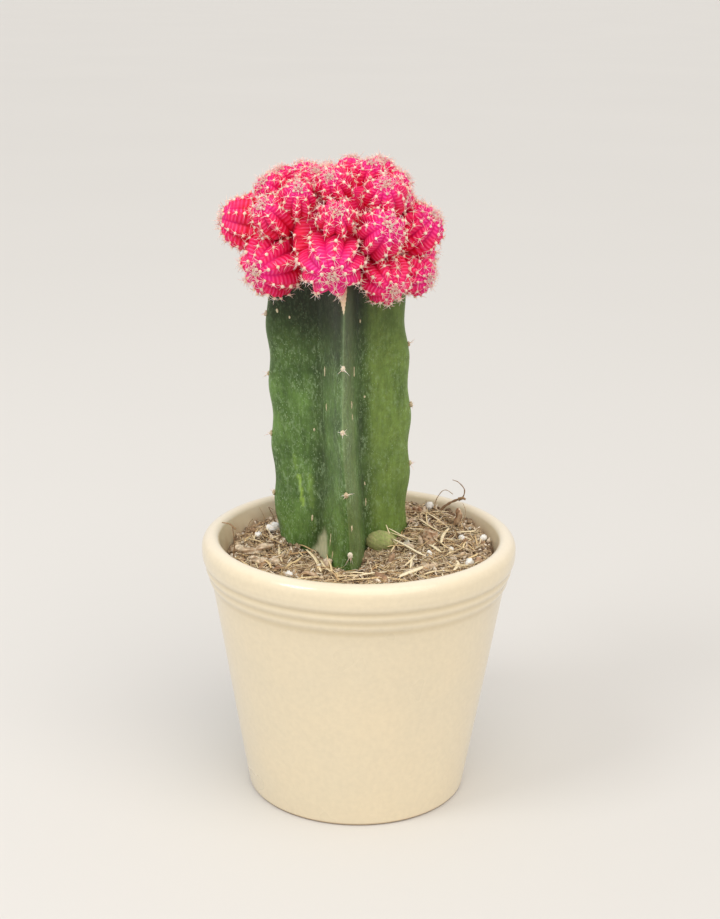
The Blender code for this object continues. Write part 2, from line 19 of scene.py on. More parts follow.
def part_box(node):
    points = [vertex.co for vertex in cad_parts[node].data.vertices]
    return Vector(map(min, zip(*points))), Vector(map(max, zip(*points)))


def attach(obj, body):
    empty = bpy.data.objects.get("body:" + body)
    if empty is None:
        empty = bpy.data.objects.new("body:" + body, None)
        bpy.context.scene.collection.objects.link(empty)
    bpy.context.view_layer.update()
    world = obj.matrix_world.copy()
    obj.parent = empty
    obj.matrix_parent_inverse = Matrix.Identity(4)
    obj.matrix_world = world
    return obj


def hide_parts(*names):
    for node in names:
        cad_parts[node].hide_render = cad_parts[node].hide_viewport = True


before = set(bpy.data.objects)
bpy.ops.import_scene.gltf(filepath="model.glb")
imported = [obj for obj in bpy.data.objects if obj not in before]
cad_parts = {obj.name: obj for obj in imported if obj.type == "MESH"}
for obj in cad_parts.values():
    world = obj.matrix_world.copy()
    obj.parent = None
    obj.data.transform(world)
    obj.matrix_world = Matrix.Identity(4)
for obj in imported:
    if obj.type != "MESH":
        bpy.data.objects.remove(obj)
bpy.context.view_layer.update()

MM = 0.001
LOG = logging.getLogger("moon_cactus")
Array = np.ndarray
Socket = bpy.types.NodeSocket


class Slot(Enum):
    """The material slots."""

    POT = "pot_glaze"
    STEM = "stem_skin"
    SCION = "scion_skin"
    SOIL = "potting_mix"


# ---------------------------------------------------------------- arrays

def unit(vectors: Array) -> Array:
    """The vectors, each scaled to length one."""
    return vectors / np.maximum(np.linalg.norm(vectors, axis=-1, keepdims=True), 1e-12)


def direction(azimuth: Array | float, elevation: Array | float) -> Array:
    """Unit vectors: x is cos e sin a, y is -cos e cos a and z is sin e."""
    turn, rise = np.radians(azimuth), np.radians(elevation)
    return np.stack(np.broadcast_arrays(
        np.cos(rise) * np.sin(turn), -np.cos(rise) * np.cos(turn), np.sin(rise)), axis=-1)


def smooth_step(low: float, high: float, value: Array | float) -> Array:
    """Rises from 0 at low to 1 at high, as 3t^2 - 2t^3."""
    share = np.clip((value - low) / (high - low), 0.0, 1.0)
    return share * share * (3.0 - 2.0 * share)


def value_noise(points: Array, cell: float, seed: int) -> Array:
    """Smooth random values from -1 to 1: the eight corner values of each cell, blended.

    Args:
        points: places, of shape (..., 3).
        cell: the size of a cell, in the points' own unit.
        seed: a whole number that picks the pattern.
    Returns:
        One value for each point.
    """
    scaled = points / cell
    corner = np.floor(scaled).astype(np.int64)
    share = scaled - corner
    share = share * share * (3.0 - 2.0 * share)
    total = np.zeros(points.shape[:-1])
    for step in np.ndindex(2, 2, 2):
        node = corner + step
        mixed = node[..., 0] * 73856093 ^ node[..., 1] * 19349663 ^ node[..., 2] * 83492791
        mixed = (mixed ^ seed * 40503) & 0x7FFFFFFF
        mixed = (mixed * 1103515245 + 12345) & 0x7FFFFFFF
        mixed = ((mixed >> 7) * 22695477 + 1) & 0x7FFFFFFF
        weight = np.where(step, share, 1.0 - share).prod(axis=-1)
        total += weight * (mixed / 0x3FFFFFFF - 1.0)
    return total


def arc(centre: tuple, radius: tuple, start: float, end: float, steps: int) -> Array:
    """Points of an elliptical arc: the centre plus radius times (cos a, sin a), in degrees."""
    angle = np.radians(np.linspace(start, end, steps + 1))
    return np.asarray(centre) + np.stack([np.cos(angle), np.sin(angle)], axis=-1) * radius


def revolved(radius: Array, angle: Array, height: Array) -> Array:
    """Points round the axis: radius times (cos a, sin a), with the angle in radians, at a height."""
    return np.stack(np.broadcast_arrays(radius * np.cos(angle), radius * np.sin(angle), height), axis=-1)


def spline(knots: Array, steps: int) -> Array:
    """A Catmull-Rom curve through the knots, with the given number of steps to each span.

    Each point blends four knots by the cubic that passes through the middle two, with a slope at each
    of half the way between its neighbours.
    """
    knots = np.asarray(knots, float)
    padded = np.concatenate([2 * knots[:1] - knots[1:2], knots, 2 * knots[-1:] - knots[-2:-1]])
    share = np.linspace(0.0, 1.0, steps, endpoint=False)[None, :, None]
    before, start, end, after = (padded[i:len(padded) - 3 + i, None] for i in range(4))
    slope_in, slope_out = (end - before) / 2.0, (after - start) / 2.0
    curve = (start * (2 * share**3 - 3 * share**2 + 1) + slope_in * (share**3 - 2 * share**2 + share)
             + end * (3 * share**2 - 2 * share**3) + slope_out * (share**3 - share**2))
    return np.concatenate([curve.reshape(-1, knots.shape[1]), knots[-1:]])


def grid_faces(rows: int, columns: int, wrap_rows: bool = False, wrap_columns: bool = True) -> Array:
    """Quads between the neighbouring points of a grid, which may close on itself either way."""
    row, column = np.meshgrid(np.arange(rows if wrap_rows else rows - 1),
                              np.arange(columns if wrap_columns else columns - 1), indexing="ij")
    row_after, column_after = (row + 1) % rows, (column + 1) % columns
    corners = [(row, column), (row, column_after), (row_after, column_after), (row_after, column)]
    return np.stack([r * columns + c for r, c in corners], axis=-1).reshape(-1, 4)


def grid_normals(grid: Array) -> Array:
    """Unit normals of a grid whose columns wrap round: across the rows crossed with along them."""
    along = np.roll(grid, -1, axis=1) - np.roll(grid, 1, axis=1)
    across = np.gradient(grid, axis=0)
    return unit(np.cross(along, across))


def closed_skin(grid: Array, first: Array, last: Array) -> tuple[Array, Array, Array]:
    """A closed skin: rings that wrap round, joined by quads, with a fan to a pole at each end.

    Args:
        grid: the rings' points, of shape (rings, steps, 3).
        first: the pole before the first ring.
        last: the pole after the last ring.
    Returns:
        Points, quads and triangles, with the faces turned outwards.
    """
    rings, steps = grid.shape[:2]
    points = np.concatenate([grid.reshape(-1, 3), [first], [last]])
    quads = grid_faces(rings, steps)
    step = np.arange(steps)
    after, count, top = (step + 1) % steps, rings * steps, (rings - 1) * steps
    fans = np.concatenate([np.stack([after, step, np.full(steps, count)], axis=-1),
                           np.stack([top + step, top + after, np.full(steps, count + 1)], axis=-1)])
    middle = points.mean(axis=0)
    corner = [points[np.concatenate([quads[:, i], fans[:, i]])] - middle for i in range(3)]
    if np.einsum("ij,ij->i", corner[0], np.cross(corner[1], corner[2])).sum() < 0.0:
        quads, fans = quads[:, ::-1], fans[:, ::-1]
    return points, quads, fans


def copied(faces: tuple, copies: int, size: int) -> list[Array]:
    """The faces of many copies of a shape whose points follow one another, size points to each."""
    starts = (np.arange(copies) * size)[:, None, None]
    return [(part[None] + starts).reshape(-1, part.shape[1]) for part in faces]


def stamp(shape: tuple, frames: Array, places: Array) -> tuple:
    """Copies of a small closed shape, each turned and sized by its own frame and moved to its place.

    Args:
        shape: points, quads and triangles, as closed_skin returns them.
        frames: one 3 by 3 matrix for each copy, whose columns are where the shape's axes go.
        places: one point for each copy.
    Returns:
        Points, quads and triangles of all the copies.
    """
    points, *faces = shape
    moved = np.einsum("nij,mj->nmi", frames, points) + places[:, None]
    return (moved.reshape(-1, 3), *copied(faces, len(places), len(points)))


def tubes(paths: Array, radii: Array, sides: int, thin: Array | None = None, flat: float = 1.0) -> tuple:
    """Closed tubes along many paths at once, each with the same number of rings.

    A ring is its path point plus the radius times cos a of one way across the path and sin a of the
    other. The first way is the axis that the path bends round, or the one given, and it may be
    flattened, which makes a ribbon.

    Args:
        paths: places, of shape (tubes, rings, 3).
        radii: one radius for each ring, of shape (tubes, rings).
        sides: how many sides a tube has.
        thin: the direction in which each tube is thin, of shape (tubes, 3).
        flat: a tube's thickness as a share of its width.
    Returns:
        Points, quads and triangles.
    """
    count, rings = paths.shape[:2]
    ahead = unit(np.gradient(paths, axis=1))
    if thin is None:
        bend = np.cross(ahead[:, :-1], ahead[:, 1:]).sum(axis=1)
        level = np.where(np.abs(ahead[:, :1, 2]) < 0.9, [[0.0, 0.0, 1.0]], [[1.0, 0.0, 0.0]])
        straight = np.linalg.norm(bend, axis=-1, keepdims=True) < 1e-3
        thin = np.where(straight, np.cross(ahead[:, 0], level), bend)
    first = unit(thin[:, None] - ahead * np.einsum("nki,ni->nk", ahead, thin)[..., None])
    second = np.cross(ahead, first)
    angle = math.tau * np.arange(sides) / sides
    cosine, sine = np.cos(angle)[:, None] * flat, np.sin(angle)[:, None]
    ring = first[:, :, None] * cosine + second[:, :, None] * sine
    ring = paths[:, :, None] + ring * radii[:, :, None, None]
    points = np.concatenate([ring.reshape(count, -1, 3), paths[:, :1], paths[:, -1:]], axis=1)
    _, *faces = closed_skin(ring[0], paths[0, 0], paths[0, -1])
    return (points.reshape(-1, 3), *copied(faces, count, rings * sides + 2))


def dome(sides: int, rows: int) -> tuple:
    """A ball of radius one, as rings of latitude with a pole at each end."""
    polar = np.linspace(0.0, math.pi, rows + 2)[1:-1, None]
    turn = math.tau * np.arange(sides) / sides
    grid = revolved(np.sin(polar), turn, np.cos(polar))
    return closed_skin(grid, np.array([0.0, 0.0, 1.0]), np.array([0.0, 0.0, -1.0]))


def frames_on(normals: Array, spin: Array) -> Array:
    """Frames whose third axis is the normal, turned about it by the given angles."""
    level = np.where(np.abs(normals[:, 2:]) < 0.9, [[0.0, 0.0, 1.0]], [[1.0, 0.0, 0.0]])
    across = unit(np.cross(level, normals))
    upward = np.cross(normals, across)
    cosine, sine = np.cos(spin)[:, None], np.sin(spin)[:, None]
    return np.stack([across * cosine + upward * sine, upward * cosine - across * sine, normals], axis=-1)


class Sculpt:
    """A mesh in the making: whole arrays of points and faces, and one number a point by name."""

    def __init__(self, *channels: str) -> None:
        """Starts empty, with the named channels, which become attributes that materials read."""
        self.channels = {name: [] for name in channels}
        self.points: list[Array] = []
        self.faces: list[Array] = []
        self.size = 0

    def add(self, points: Array, *faces: Array, **values: Array | float) -> None:
        """Adds a surface.

        Args:
            points: places in millimetres, of shape (points, 3).
            faces: arrays of point numbers, with 3 or 4 columns.
            values: a number for each point, or one for all, in each channel.
        """
        self.points.append(points * MM)
        self.faces += [part + self.size for part in faces]
        for name, kept in self.channels.items():
            kept.append(np.broadcast_to(values[name], len(points)))
        self.size += len(points)

    def add_tubes(self, paths: Array, radii: Array, sides: int, tones: Array | float, share: Array,
                  thin: Array | None = None, flat: float = 1.0) -> None:
        """Adds closed tubes, as tubes makes them, in the channels tone and along.

        Args:
            paths: places, of shape (tubes, rings, 3).
            radii: one radius for each ring, of shape (tubes, rings).
            sides: how many sides a tube has.
            tones: the tone of each tube, or one for all.
            share: how far along a tube each of its rings is, from 0 to 1.
            thin: the direction in which each tube is thin.
            flat: a tube's thickness as a share of its width.
        """
        along = np.append(np.repeat(share, sides), [0.0, 1.0])
        tone = np.repeat(np.broadcast_to(tones, len(paths)), len(along))
        self.add(*tubes(paths, radii, sides, thin, flat), tone=tone, along=np.tile(along, len(paths)))

    def build(self, name: str, material: bpy.types.Material, smooth: bool = True) -> bpy.types.Object:
        """Makes the object at the origin, smooth-shaded or with crisp facets."""
        loops = np.concatenate([part.ravel() for part in self.faces]).astype(np.int32)
        sizes = np.concatenate([np.full(len(part), part.shape[1]) for part in self.faces])
        starts = np.concatenate([[0], np.cumsum(sizes)[:-1]]).astype(np.int32)
        mesh = bpy.data.meshes.new(name)
        mesh.vertices.add(self.size)
        mesh.vertices.foreach_set("co", np.concatenate(self.points).astype(np.float32).ravel())
        mesh.loops.add(len(loops))
        mesh.loops.foreach_set("vertex_index", loops)
        mesh.polygons.add(len(sizes))
        mesh.polygons.foreach_set("loop_start", starts)
        mesh.update(calc_edges=True)
        for channel, kept in self.channels.items():
            layer = mesh.attributes.new(channel, "FLOAT", "POINT")
            layer.data.foreach_set("value", np.concatenate(kept).astype(np.float32))
        mesh.materials.append(material)
        if smooth:
            mesh.shade_smooth()
        made = bpy.data.objects.new(name, mesh)
        bpy.context.scene.collection.objects.link(made)
        return made


def fit(piece: bpy.types.Object, slot: Slot, *nodes: str) -> None:
    """Puts a piece on the part: it rides on the one body and stands for the named nodes."""
    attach(piece, "root")
    if nodes:
        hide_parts(*nodes)
    LOG.info("%s: %d faces", piece.name, len(piece.data.polygons))


# ---------------------------------------------------------------- finishes

def linear(colour: str) -> tuple:
    """Linear RGBA of an sRGB hex colour such as #eadabb."""
    channels = np.array([int(colour[i:i + 2], 16) for i in (1, 3, 5)]) / 255.0
    straight = np.where(channels <= 0.04045, channels / 12.92, ((channels + 0.055) / 1.055) ** 2.4)
    return (*map(float, straight), 1.0)


def per_size(size: float) -> float:
    """A texture's scale for a feature of this size in millimetres, on coordinates in metres."""
    return 1.0 / (size * MM)


# settings that many nodes share
RGBA = {"data_type": "RGBA"}
DARKEN = {"data_type": "RGBA", "blend_type": "MULTIPLY"}
TIMES = {"operation": "MULTIPLY", "use_clamp": True}
PLUS = {"operation": "ADD", "use_clamp": True}
LARGER = {"operation": "MAXIMUM", "use_clamp": True}
SMOOTH = {"interpolation_type": "SMOOTHSTEP"}


class Wiring:
    """A material's node tree, with one method that adds a node, and patterns made of several."""

    def __init__(self, tree: bpy.types.NodeTree, shader: bpy.types.Node) -> None:
        """Starts from the place on the object, in metres."""
        self.tree, self.shader = tree, shader
        self.place = self.add("TexCoord", output="Object")

    def add(self, kind: str, inputs: dict | None = None, output: int | str = 0, **settings) -> Socket:
        """Adds a shader node, with its settings, values and links.

        Args:
            kind: the node's type, without its ShaderNode prefix.
            inputs: by a socket's name or number, a value, a hex colour or another node's socket.
            output: the name or number of the output that is wanted.
            settings: the node's own properties.
        Returns:
            The wanted output.
        """
        node = self.tree.nodes.new("ShaderNode" + kind)
        for name, value in settings.items():
            setattr(node, name, value)
        for name, value in (inputs or {}).items():
            if isinstance(value, Socket):
                self.tree.links.new(value, node.inputs[name])
            else:
                node.inputs[name].default_value = linear(value) if isinstance(value, str) else value
        return node.outputs[output]

    def shaded(self, colour: Socket, *shades: tuple) -> Socket:
        """The colour times values that run from dark to light over a cloud's usual range.

        Args:
            colour: what is shaded.
            shades: a cloud, and the values at its dark and its light end.
        Returns:
            The shaded colour.
        """
        for cloud, dark, light in shades:
            value = self.add("MapRange", {0: cloud, 1: 0.3, 2: 0.7, 3: dark, 4: light})
            colour = self.add("Mix", {0: 1.0, 6: colour, 7: value}, 2, **DARKEN)
        return colour

    def specks(self, cell: float, reach: float, empty: float, place: Socket) -> Socket:
        """Small ragged specks: the middles of some of the cells of a scattered pattern.

        Args:
            cell: the size of a cell, in millimetres.
            reach: a speck's half size, as a share of its cell.
            empty: the share of the cells that stay empty.
            place: where the pattern is read.
        Returns:
            How much of a speck there is, from 0 to 1.
        """
        ragged = self.add("TexNoise", {"Vector": place, "Scale": per_size(cell * 0.45), "Detail": 2.0})
        away = self.add("TexVoronoi", {"Vector": place, "Scale": per_size(cell)}, "Distance")
        drawn = self.add("SeparateColor", {0: away.node.outputs["Color"]})
        rough = self.add("MapRange", {0: ragged, 1: 0.3, 2: 0.7, 3: -0.1, 4: 0.14})
        away = self.add("Math", {0: away, 1: rough}, **PLUS)
        inside = self.add("MapRange", {0: away, 1: reach, 2: reach * 0.4})
        chosen = self.add("MapRange", {0: drawn, 1: empty, 2: empty + 0.3})
        return self.add("Math", {0: inside, 1: chosen}, **TIMES)

    def finish(self, colour: Socket, roughness: Socket, relief: Socket, depth: float,
               strength: float) -> None:
        """Joins the colour, the roughness and a relief of a depth in millimetres to the shader."""
        bump = self.add("Bump", {"Height": relief, "Strength": strength, "Distance": depth * MM})
        for name, value in (("Base Color", colour), ("Roughness", roughness), ("Normal", bump)):
            self.tree.links.new(value, self.shader.inputs[name])


@dataclass(frozen=True)
class Finish:
    """A finish: its name, and the values that are even all over its surface."""

    name: str
    ior: float = 1.45
    specular: float = 0.5  # 0.5 is the whole reflection for the index; a waxy bloom dulls it
    coat: float = 0.0
    coat_roughness: float = 0.1
    sheen: float = 0.0
    glow: float = 0.0  # share of light that wanders under the skin
    glow_depth: float = 1.0  # how far it wanders, in millimetres
    glow_spread: tuple = (1.0, 0.5, 0.3)  # red, green and blue shares of that depth

    def make(self) -> bpy.types.Material:
        """The material, with its even values set on the shader and its patterns wired."""
        made = bpy.data.materials.new(self.name)
        made.use_nodes = True
        shader = made.node_tree.nodes["Principled BSDF"]
        even = {"IOR": self.ior, "Specular IOR Level": self.specular, "Coat Weight": self.coat,
                "Coat Roughness": self.coat_roughness, "Sheen Weight": self.sheen,
                "Subsurface Weight": self.glow, "Subsurface Scale": self.glow_depth * MM,
                "Subsurface Radius": self.glow_spread}
        for name, value in even.items():
            shader.inputs[name].default_value = value
        self.wire(Wiring(made.node_tree, shader))
        return made

    def wire(self, on: Wiring) -> None:
        """Adds the pattern of colour, roughness and relief."""
        raise NotImplementedError


@dataclass(frozen=True)
class GlazedStoneware(Finish):
    """Cream glaze over stoneware, dipped and fired: soft gloss, faint mottling, thicker in grooves.

    The inner wall carries a dried ochre tide line from watering, and the foot ring is wiped bare.
    """

    name: str = "glazed_stoneware"
    ior: float = 1.5
    coat: float = 0.5
    coat_roughness: float = 0.09
    body: str = "#ebdab9"
    cool: str = "#dfd3b8"
    pooled: str = "#cfbd97"
    thin_glaze_and_highlight: str = "#f4ead5"
    tide: str = "#b28d62"
    clay: str = "#c8b090"

    def wire(self, on: Wiring) -> None:
        """Mottling of 1.5 and 22 mm, pooled and thin glaze by channel, a painted highlight along the lip's
        top, and the tide by height.
        """
        height = on.add("SeparateXYZ", {0: on.place}, "Z")
        broad, fine, patchy, peel = (
            on.add("TexNoise", {"Vector": on.place, "Scale": per_size(size), "Detail": detail})
            for size, detail in ((22.0, 3.0), (1.5, 4.0), (6.0, 6.0), (3.0, 3.0)))
        pool, edge, inside = (on.add("Attribute", output="Fac", attribute_name=name)
                              for name in ("pool", "edge", "inside"))
        colour = on.add("Mix", {0: broad, 6: self.cool, 7: self.body}, 2, **RGBA)
        colour = on.shaded(colour, (fine, 0.965, 1.02))
        # the tide fades out over 6 mm above the mix, in ragged patches
        low = on.add("MapRange", {0: height, 1: 75.5 * MM, 2: 69.5 * MM, 4: 0.8})
        low = on.add("Math", {0: low, 1: inside}, **TIMES)
        low = on.add("Math", {0: low, 1: on.add("MapRange", {0: patchy, 1: 0.36, 2: 0.66})}, **TIMES)
        bare = on.add("MapRange", {0: height, 1: 0.9 * MM, 2: 0.5 * MM})
        # the edge layer: thin glaze on the groove crests and the lip, partly a painted highlight along the
        # top of the lip
        layers = (pool, self.pooled), (edge, self.thin_glaze_and_highlight), (low, self.tide), (bare, self.clay)
        for share, layer in layers:
            colour = on.add("Mix", {0: share, 6: colour, 7: layer}, 2, **RGBA)
        rough = on.add("MapRange", {0: broad, 1: 0.3, 2: 0.7, 3: 0.26, 4: 0.36})
        for share, rougher in ((bare, 0.5), (low, 0.45)):
            rough = on.add("Math", {0: rough, 1: on.add("Math", {0: share, 1: rougher}, **TIMES)}, **PLUS)
        # orange-peel of the glaze, 3 mm across and very shallow
        on.finish(colour, rough, peel, 0.06, 0.3)


@dataclass(frozen=True)
class StemSkin(Finish):
    """Waxy skin of a three-ribbed rootstock: green, clouded, dusted with pale corky flecks, satin."""

    name: str = "rootstock_skin"
    specular: float = 0.25
    coat: float = 0.06
    coat_roughness: float = 0.35
    glow: float = 0.06
    glow_depth: float = 1.5
    deep: str = "#3d5824"
    green: str = "#648440"
    bright: str = "#728a40"
    blotch: str = "#9dbf52"
    grey: str = "#6c7f4a"
    shaded: str = "#141f06"
    fleck: str = "#a8c194"
    dry: str = "#dcd6b6"
    dry_vein: str = "#8f9a6c"
    trimmed: str = "#e6d6aa"
    trimmed_vein: str = "#f1e4c6"

    def wire(self, on: Wiring) -> None:
        """Clouds of 9 mm, upright streaks, blotches, two sizes of flecks, dry skin and the bevel, with
        painted light on the right face, painted shade and a painted highlight on the crests.
        """
        upright, taller = (on.add("Mapping", {"Vector": on.place, "Scale": (1.0, 1.0, drawn)})
                           for drawn in (0.12, 0.7))
        cloud, blots, grain, patchy, streak, fibre, haze = (
            on.add("TexNoise", {"Vector": place, "Scale": per_size(size), "Detail": detail})
            for place, size, detail in (
                (on.place, 9.0, 5.0), (on.place, 2.2, 4.0), (on.place, 0.6, 3.0), (on.place, 6.0, 3.0),
                (upright, 0.9, 4.0), (upright, 0.3, 3.0), (taller, 1.0, 6.0)))
        edge, cut, front, sunny, flecked, blotched, shade, papery = (
            on.add("Attribute", output="Fac", attribute_name=name)
            for name in ("edge", "cut", "front", "sunny", "flecked", "blotched", "shade", "papery"))
        clouded = on.add("MapRange", {0: cloud, 1: 0.3, 2: 0.62})
        colour = on.add("Mix", {0: clouded, 6: self.deep, 7: self.green}, 2, **RGBA)
        # painted light: the right face is made brighter, in clouds
        lit = on.add("MapRange", {0: cloud, 1: 0.25, 2: 0.62, 3: 0.4})
        lit = on.add("Math", {0: sunny, 1: lit}, **TIMES)
        # the last layer is painted shade, near the graft and in the valleys
        layers = (lit, self.bright), (blotched, self.blotch), (front, self.grey), (shade, self.shaded)
        for share, layer in layers:
            colour = on.add("Mix", {0: share, 6: colour, 7: layer}, 2, **RGBA)
        colour = on.shaded(colour, (streak, 0.87, 1.1), (blots, 0.82, 1.14), (grain, 0.88, 1.08))
        # flecks of two sizes and a haze of finer ones, thinned out in patches
        large, small = on.specks(1.2, 0.2, 0.4, taller), on.specks(0.6, 0.3, 0.1, taller)
        flecks = on.add("Math", {0: large, 1: small}, **LARGER)
        haze = on.add("Math", {0: on.add("MapRange", {0: haze, 1: 0.5, 2: 0.68}), 1: 0.5}, **TIMES)
        flecks = on.add("Math", {0: flecks, 1: haze}, **LARGER)
        thinned = on.add("MapRange", {0: patchy, 1: 0.34, 2: 0.6, 3: 0.15, 4: 0.75})
        for share in (thinned, flecked):
            flecks = on.add("Math", {0: flecks, 1: share}, **TIMES)
        # a painted highlight along the upper crests, in the flecks' colour
        crest = on.add("Math", {0: edge, 1: 0.34}, **TIMES)
        dry = on.add("Mix", {0: streak, 6: self.dry, 7: self.dry_vein}, 2, **RGBA)
        peeling = on.add("Math", {0: papery, 1: on.add("MapRange", {0: cloud, 1: 0.2, 2: 0.4})}, **TIMES)
        fibrous = on.add("MapRange", {0: fibre, 1: 0.35, 2: 0.65})
        wood = on.add("Mix", {0: fibrous, 6: self.trimmed, 7: self.trimmed_vein}, 2, **RGBA)
        for share, layer in ((flecks, self.fleck), (crest, self.fleck), (peeling, dry), (cut, wood)):
            colour = on.add("Mix", {0: share, 6: colour, 7: layer}, 2, **RGBA)
        rough = on.add("MapRange", {0: cloud, 1: 0.3, 2: 0.7, 3: 0.45, 4: 0.57})
        rough = on.add("Math", {0: rough, 1: on.add("Math", {0: cut, 1: 0.4}, **TIMES)}, **PLUS)
        on.finish(colour, rough, on.add("Math", {0: streak, 1: flecks}, **PLUS), 0.12, 0.5)


@dataclass(frozen=True)
class ScionSkin(Finish):
    """Flesh with no green in it: magenta round the crowns, rosy to red further out, paler cross bands."""

    name: str = "scion_flesh"
    specular: float = 0.25
    coat: float = 0.05
    coat_roughness: float = 0.32
    glow: float = 0.3
    glow_depth: float = 1.6
    glow_spread: tuple = (1.0, 0.22, 0.3)
    young: str = "#ee0684"
    rosy: str = "#f40a5e"
    red: str = "#ec0638"
    young_fold: str = "#e80270"
    red_fold: str = "#de0232"
    crest: str = "#f82e62"
    band: str = "#ff6aa8"

    def wire(self, on: Wiring) -> None:
        """Colour by the way from the crown and the place on a rib, with bands on the flanks."""
        crest, polar, tone, band = (on.add("Attribute", output="Fac", attribute_name=name)
                                    for name in ("crest", "polar", "tone", "band"))
        cloud, patchy, pores = (
            on.add("TexNoise", {"Vector": on.place, "Scale": per_size(size), "Detail": detail})
            for size, detail in ((3.0, 4.0), (2.2, 2.0), (0.5, 2.0)))
        # the way from the crown, shifted by a cloud and by each offset's own tone
        lean = on.add("MapRange", {0: cloud, 1: 0.3, 2: 0.7, 3: -0.1, 4: 0.1})
        lean = on.add("Math", {0: polar, 1: lean}, **PLUS)
        lean = on.add("Math", {0: lean, 1: on.add("MapRange", {0: tone, 3: -0.08, 4: 0.12})}, **PLUS)
        rosier, redder, deeper, ridge = (
            on.add("MapRange", {0: value, 1: low, 2: high}, **SMOOTH)
            for value, low, high in (
                (lean, 0.12, 0.32), (lean, 0.36, 0.62), (lean, 0.25, 0.6), (crest, 0.0, 0.45)))
        flank = on.add("Mix", {0: rosier, 6: self.young, 7: self.rosy}, 2, **RGBA)
        flank = on.add("Mix", {0: redder, 6: flank, 7: self.red}, 2, **RGBA)
        fold = on.add("Mix", {0: deeper, 6: self.young_fold, 7: self.red_fold}, 2, **RGBA)
        colour = on.add("Mix", {0: ridge, 6: fold, 7: flank}, 2, **RGBA)
        top = on.add("MapRange", {0: crest, 1: 0.8, 4: 0.6})
        colour = on.add("Mix", {0: top, 6: colour, 7: self.crest}, 2, **RGBA)
        between = on.add("MapRange", {0: band, 2: 0.35, 3: 0.9})
        colour = on.add("Mix", {0: 1.0, 6: colour, 7: between}, 2, **DARKEN)
        striped = on.add("MapRange", {0: patchy, 1: 0.35, 2: 0.65, 3: 0.5})
        striped = on.add("Math", {0: band, 1: striped}, **TIMES)
        colour = on.add("Mix", {0: striped, 6: colour, 7: self.band}, 2, **RGBA)
        colour = on.shaded(colour, (cloud, 0.92, 1.04))
        rough = on.add("MapRange", {0: cloud, 1: 0.3, 2: 0.7, 3: 0.4, 4: 0.52})
        on.finish(colour, rough, pores, 0.05, 0.3)


@dataclass(frozen=True)
class Grown(Finish):
    """A small natural thing in loose numbers, such as spines, wool, crumbs or straw.

    Each copy has a tone from 0 to 1, which runs from the dark colour through the middle one to the
    light one, and along is 0 at a copy's root and 1 at its tip.
    """

    dark: str = "#000000"
    middle: str = "#808080"
    light: str = "#ffffff"
    tip: str = "#ffffff"
    tipped: float = 0.0  # how far the tip takes the tip's colour
    grain: float = 0.5  # size of the surface's grain, in millimetres
    grain_shade: float = 0.25  # how much the grain darkens
    relief: float = 0.1  # depth of the grain, in millimetres
    roughness: float = 0.8

    def wire(self, on: Wiring) -> None:
        """Colour by tone and by the way along, darkened and roughened by the grain."""
        tone, along = (on.add("Attribute", output="Fac", attribute_name=name) for name in ("tone", "along"))
        grain = on.add("TexNoise", {"Vector": on.place, "Scale": per_size(self.grain), "Detail": 4.0})
        lower, upper = on.add("MapRange", {0: tone, 2: 0.5}), on.add("MapRange", {0: tone, 1: 0.5})
        colour = on.add("Mix", {0: lower, 6: self.dark, 7: self.middle}, 2, **RGBA)
        colour = on.add("Mix", {0: upper, 6: colour, 7: self.light}, 2, **RGBA)
        colour = on.shaded(colour, (grain, 1.0 - self.grain_shade, 1.08))
        tipped = on.add("Math", {0: along, 1: self.tipped}, **TIMES)
        colour = on.add("Mix", {0: tipped, 6: colour, 7: self.tip}, 2, **RGBA)
        rough = on.add("MapRange", {0: grain, 3: self.roughness - 0.08, 4: self.roughness + 0.08})
        on.finish(colour, rough, grain, self.relief, 0.6)


SPINE = Grown("horny_spine", glow=0.4, glow_depth=0.5, dark="#fbc0b8", middle="#fdd6ca", light="#feecdf",
              tip="#feeadb", tipped=0.4, grain=0.6, grain_shade=0.04, relief=0.01, roughness=0.5)
WOOL = Grown("areole_wool", sheen=0.2, dark="#efcfae", middle="#f6dfc2", light="#fcefdb", grain=0.3,
             grain_shade=0.18, relief=0.12, roughness=0.95)
AREOLE_CORK = Grown("old_areole_wool", dark="#cdb792", middle="#e4d5b4", light="#f5ebd4", grain=0.35,
                    grain_shade=0.4, relief=0.15, roughness=0.95)
CORK = Grown("dry_cork", dark="#a2b56a", middle="#c3b58a", light="#ddcfab", grain=0.6, grain_shade=0.3,
             relief=0.12, roughness=0.9)
PEAT = Grown("coir_and_peat", dark="#6f5640", middle="#d5bb98", light="#fbf0dd", grain=0.8, grain_shade=0.4,
             relief=0.5, roughness=0.95)
ROOT = Grown("dried_root", dark="#7d5c43", middle="#a98a68", light="#cdb28a", grain=0.5, grain_shade=0.3,
             relief=0.08, roughness=0.8)
STRAW = Grown("dry_straw", dark="#b98f63", middle="#f0d6a2", light="#fff3d2", tip="#dfc090", tipped=0.15,
              grain=0.5, grain_shade=0.25, relief=0.08, roughness=0.75)
PERLITE = Grown("expanded_perlite", dark="#dcd9d2", middle="#f0eee8", light="#fbfaf6", grain=0.5,
                grain_shade=0.16, relief=0.15, roughness=0.9)
BARK = Grown("composted_bark", dark="#94694b", middle="#c6a888", light="#efdec3", grain=0.9,
             grain_shade=0.45, relief=0.3, roughness=0.9)


@dataclass(frozen=True)
class StudioFloor(Finish):
    """Matt pale studio sheet."""

    name: str = "studio_floor"
    colour: str = "#d3d1cd"
    lighter: str = "#d7d5d1"

    def wire(self, on: Wiring) -> None:
        """One even colour, with a faint cloud so that it isn't quite flat."""
        cloud = on.add("TexNoise", {"Vector": on.place, "Scale": per_size(400.0), "Detail": 3.0})
        colour = on.add("Mix", {0: cloud, 6: self.colour, 7: self.lighter}, 2, **RGBA)
        on.finish(colour, on.add("MapRange", {0: cloud, 3: 0.85, 4: 0.95}), cloud, 0.1, 0.1)


# ---------------------------------------------------------------- pot

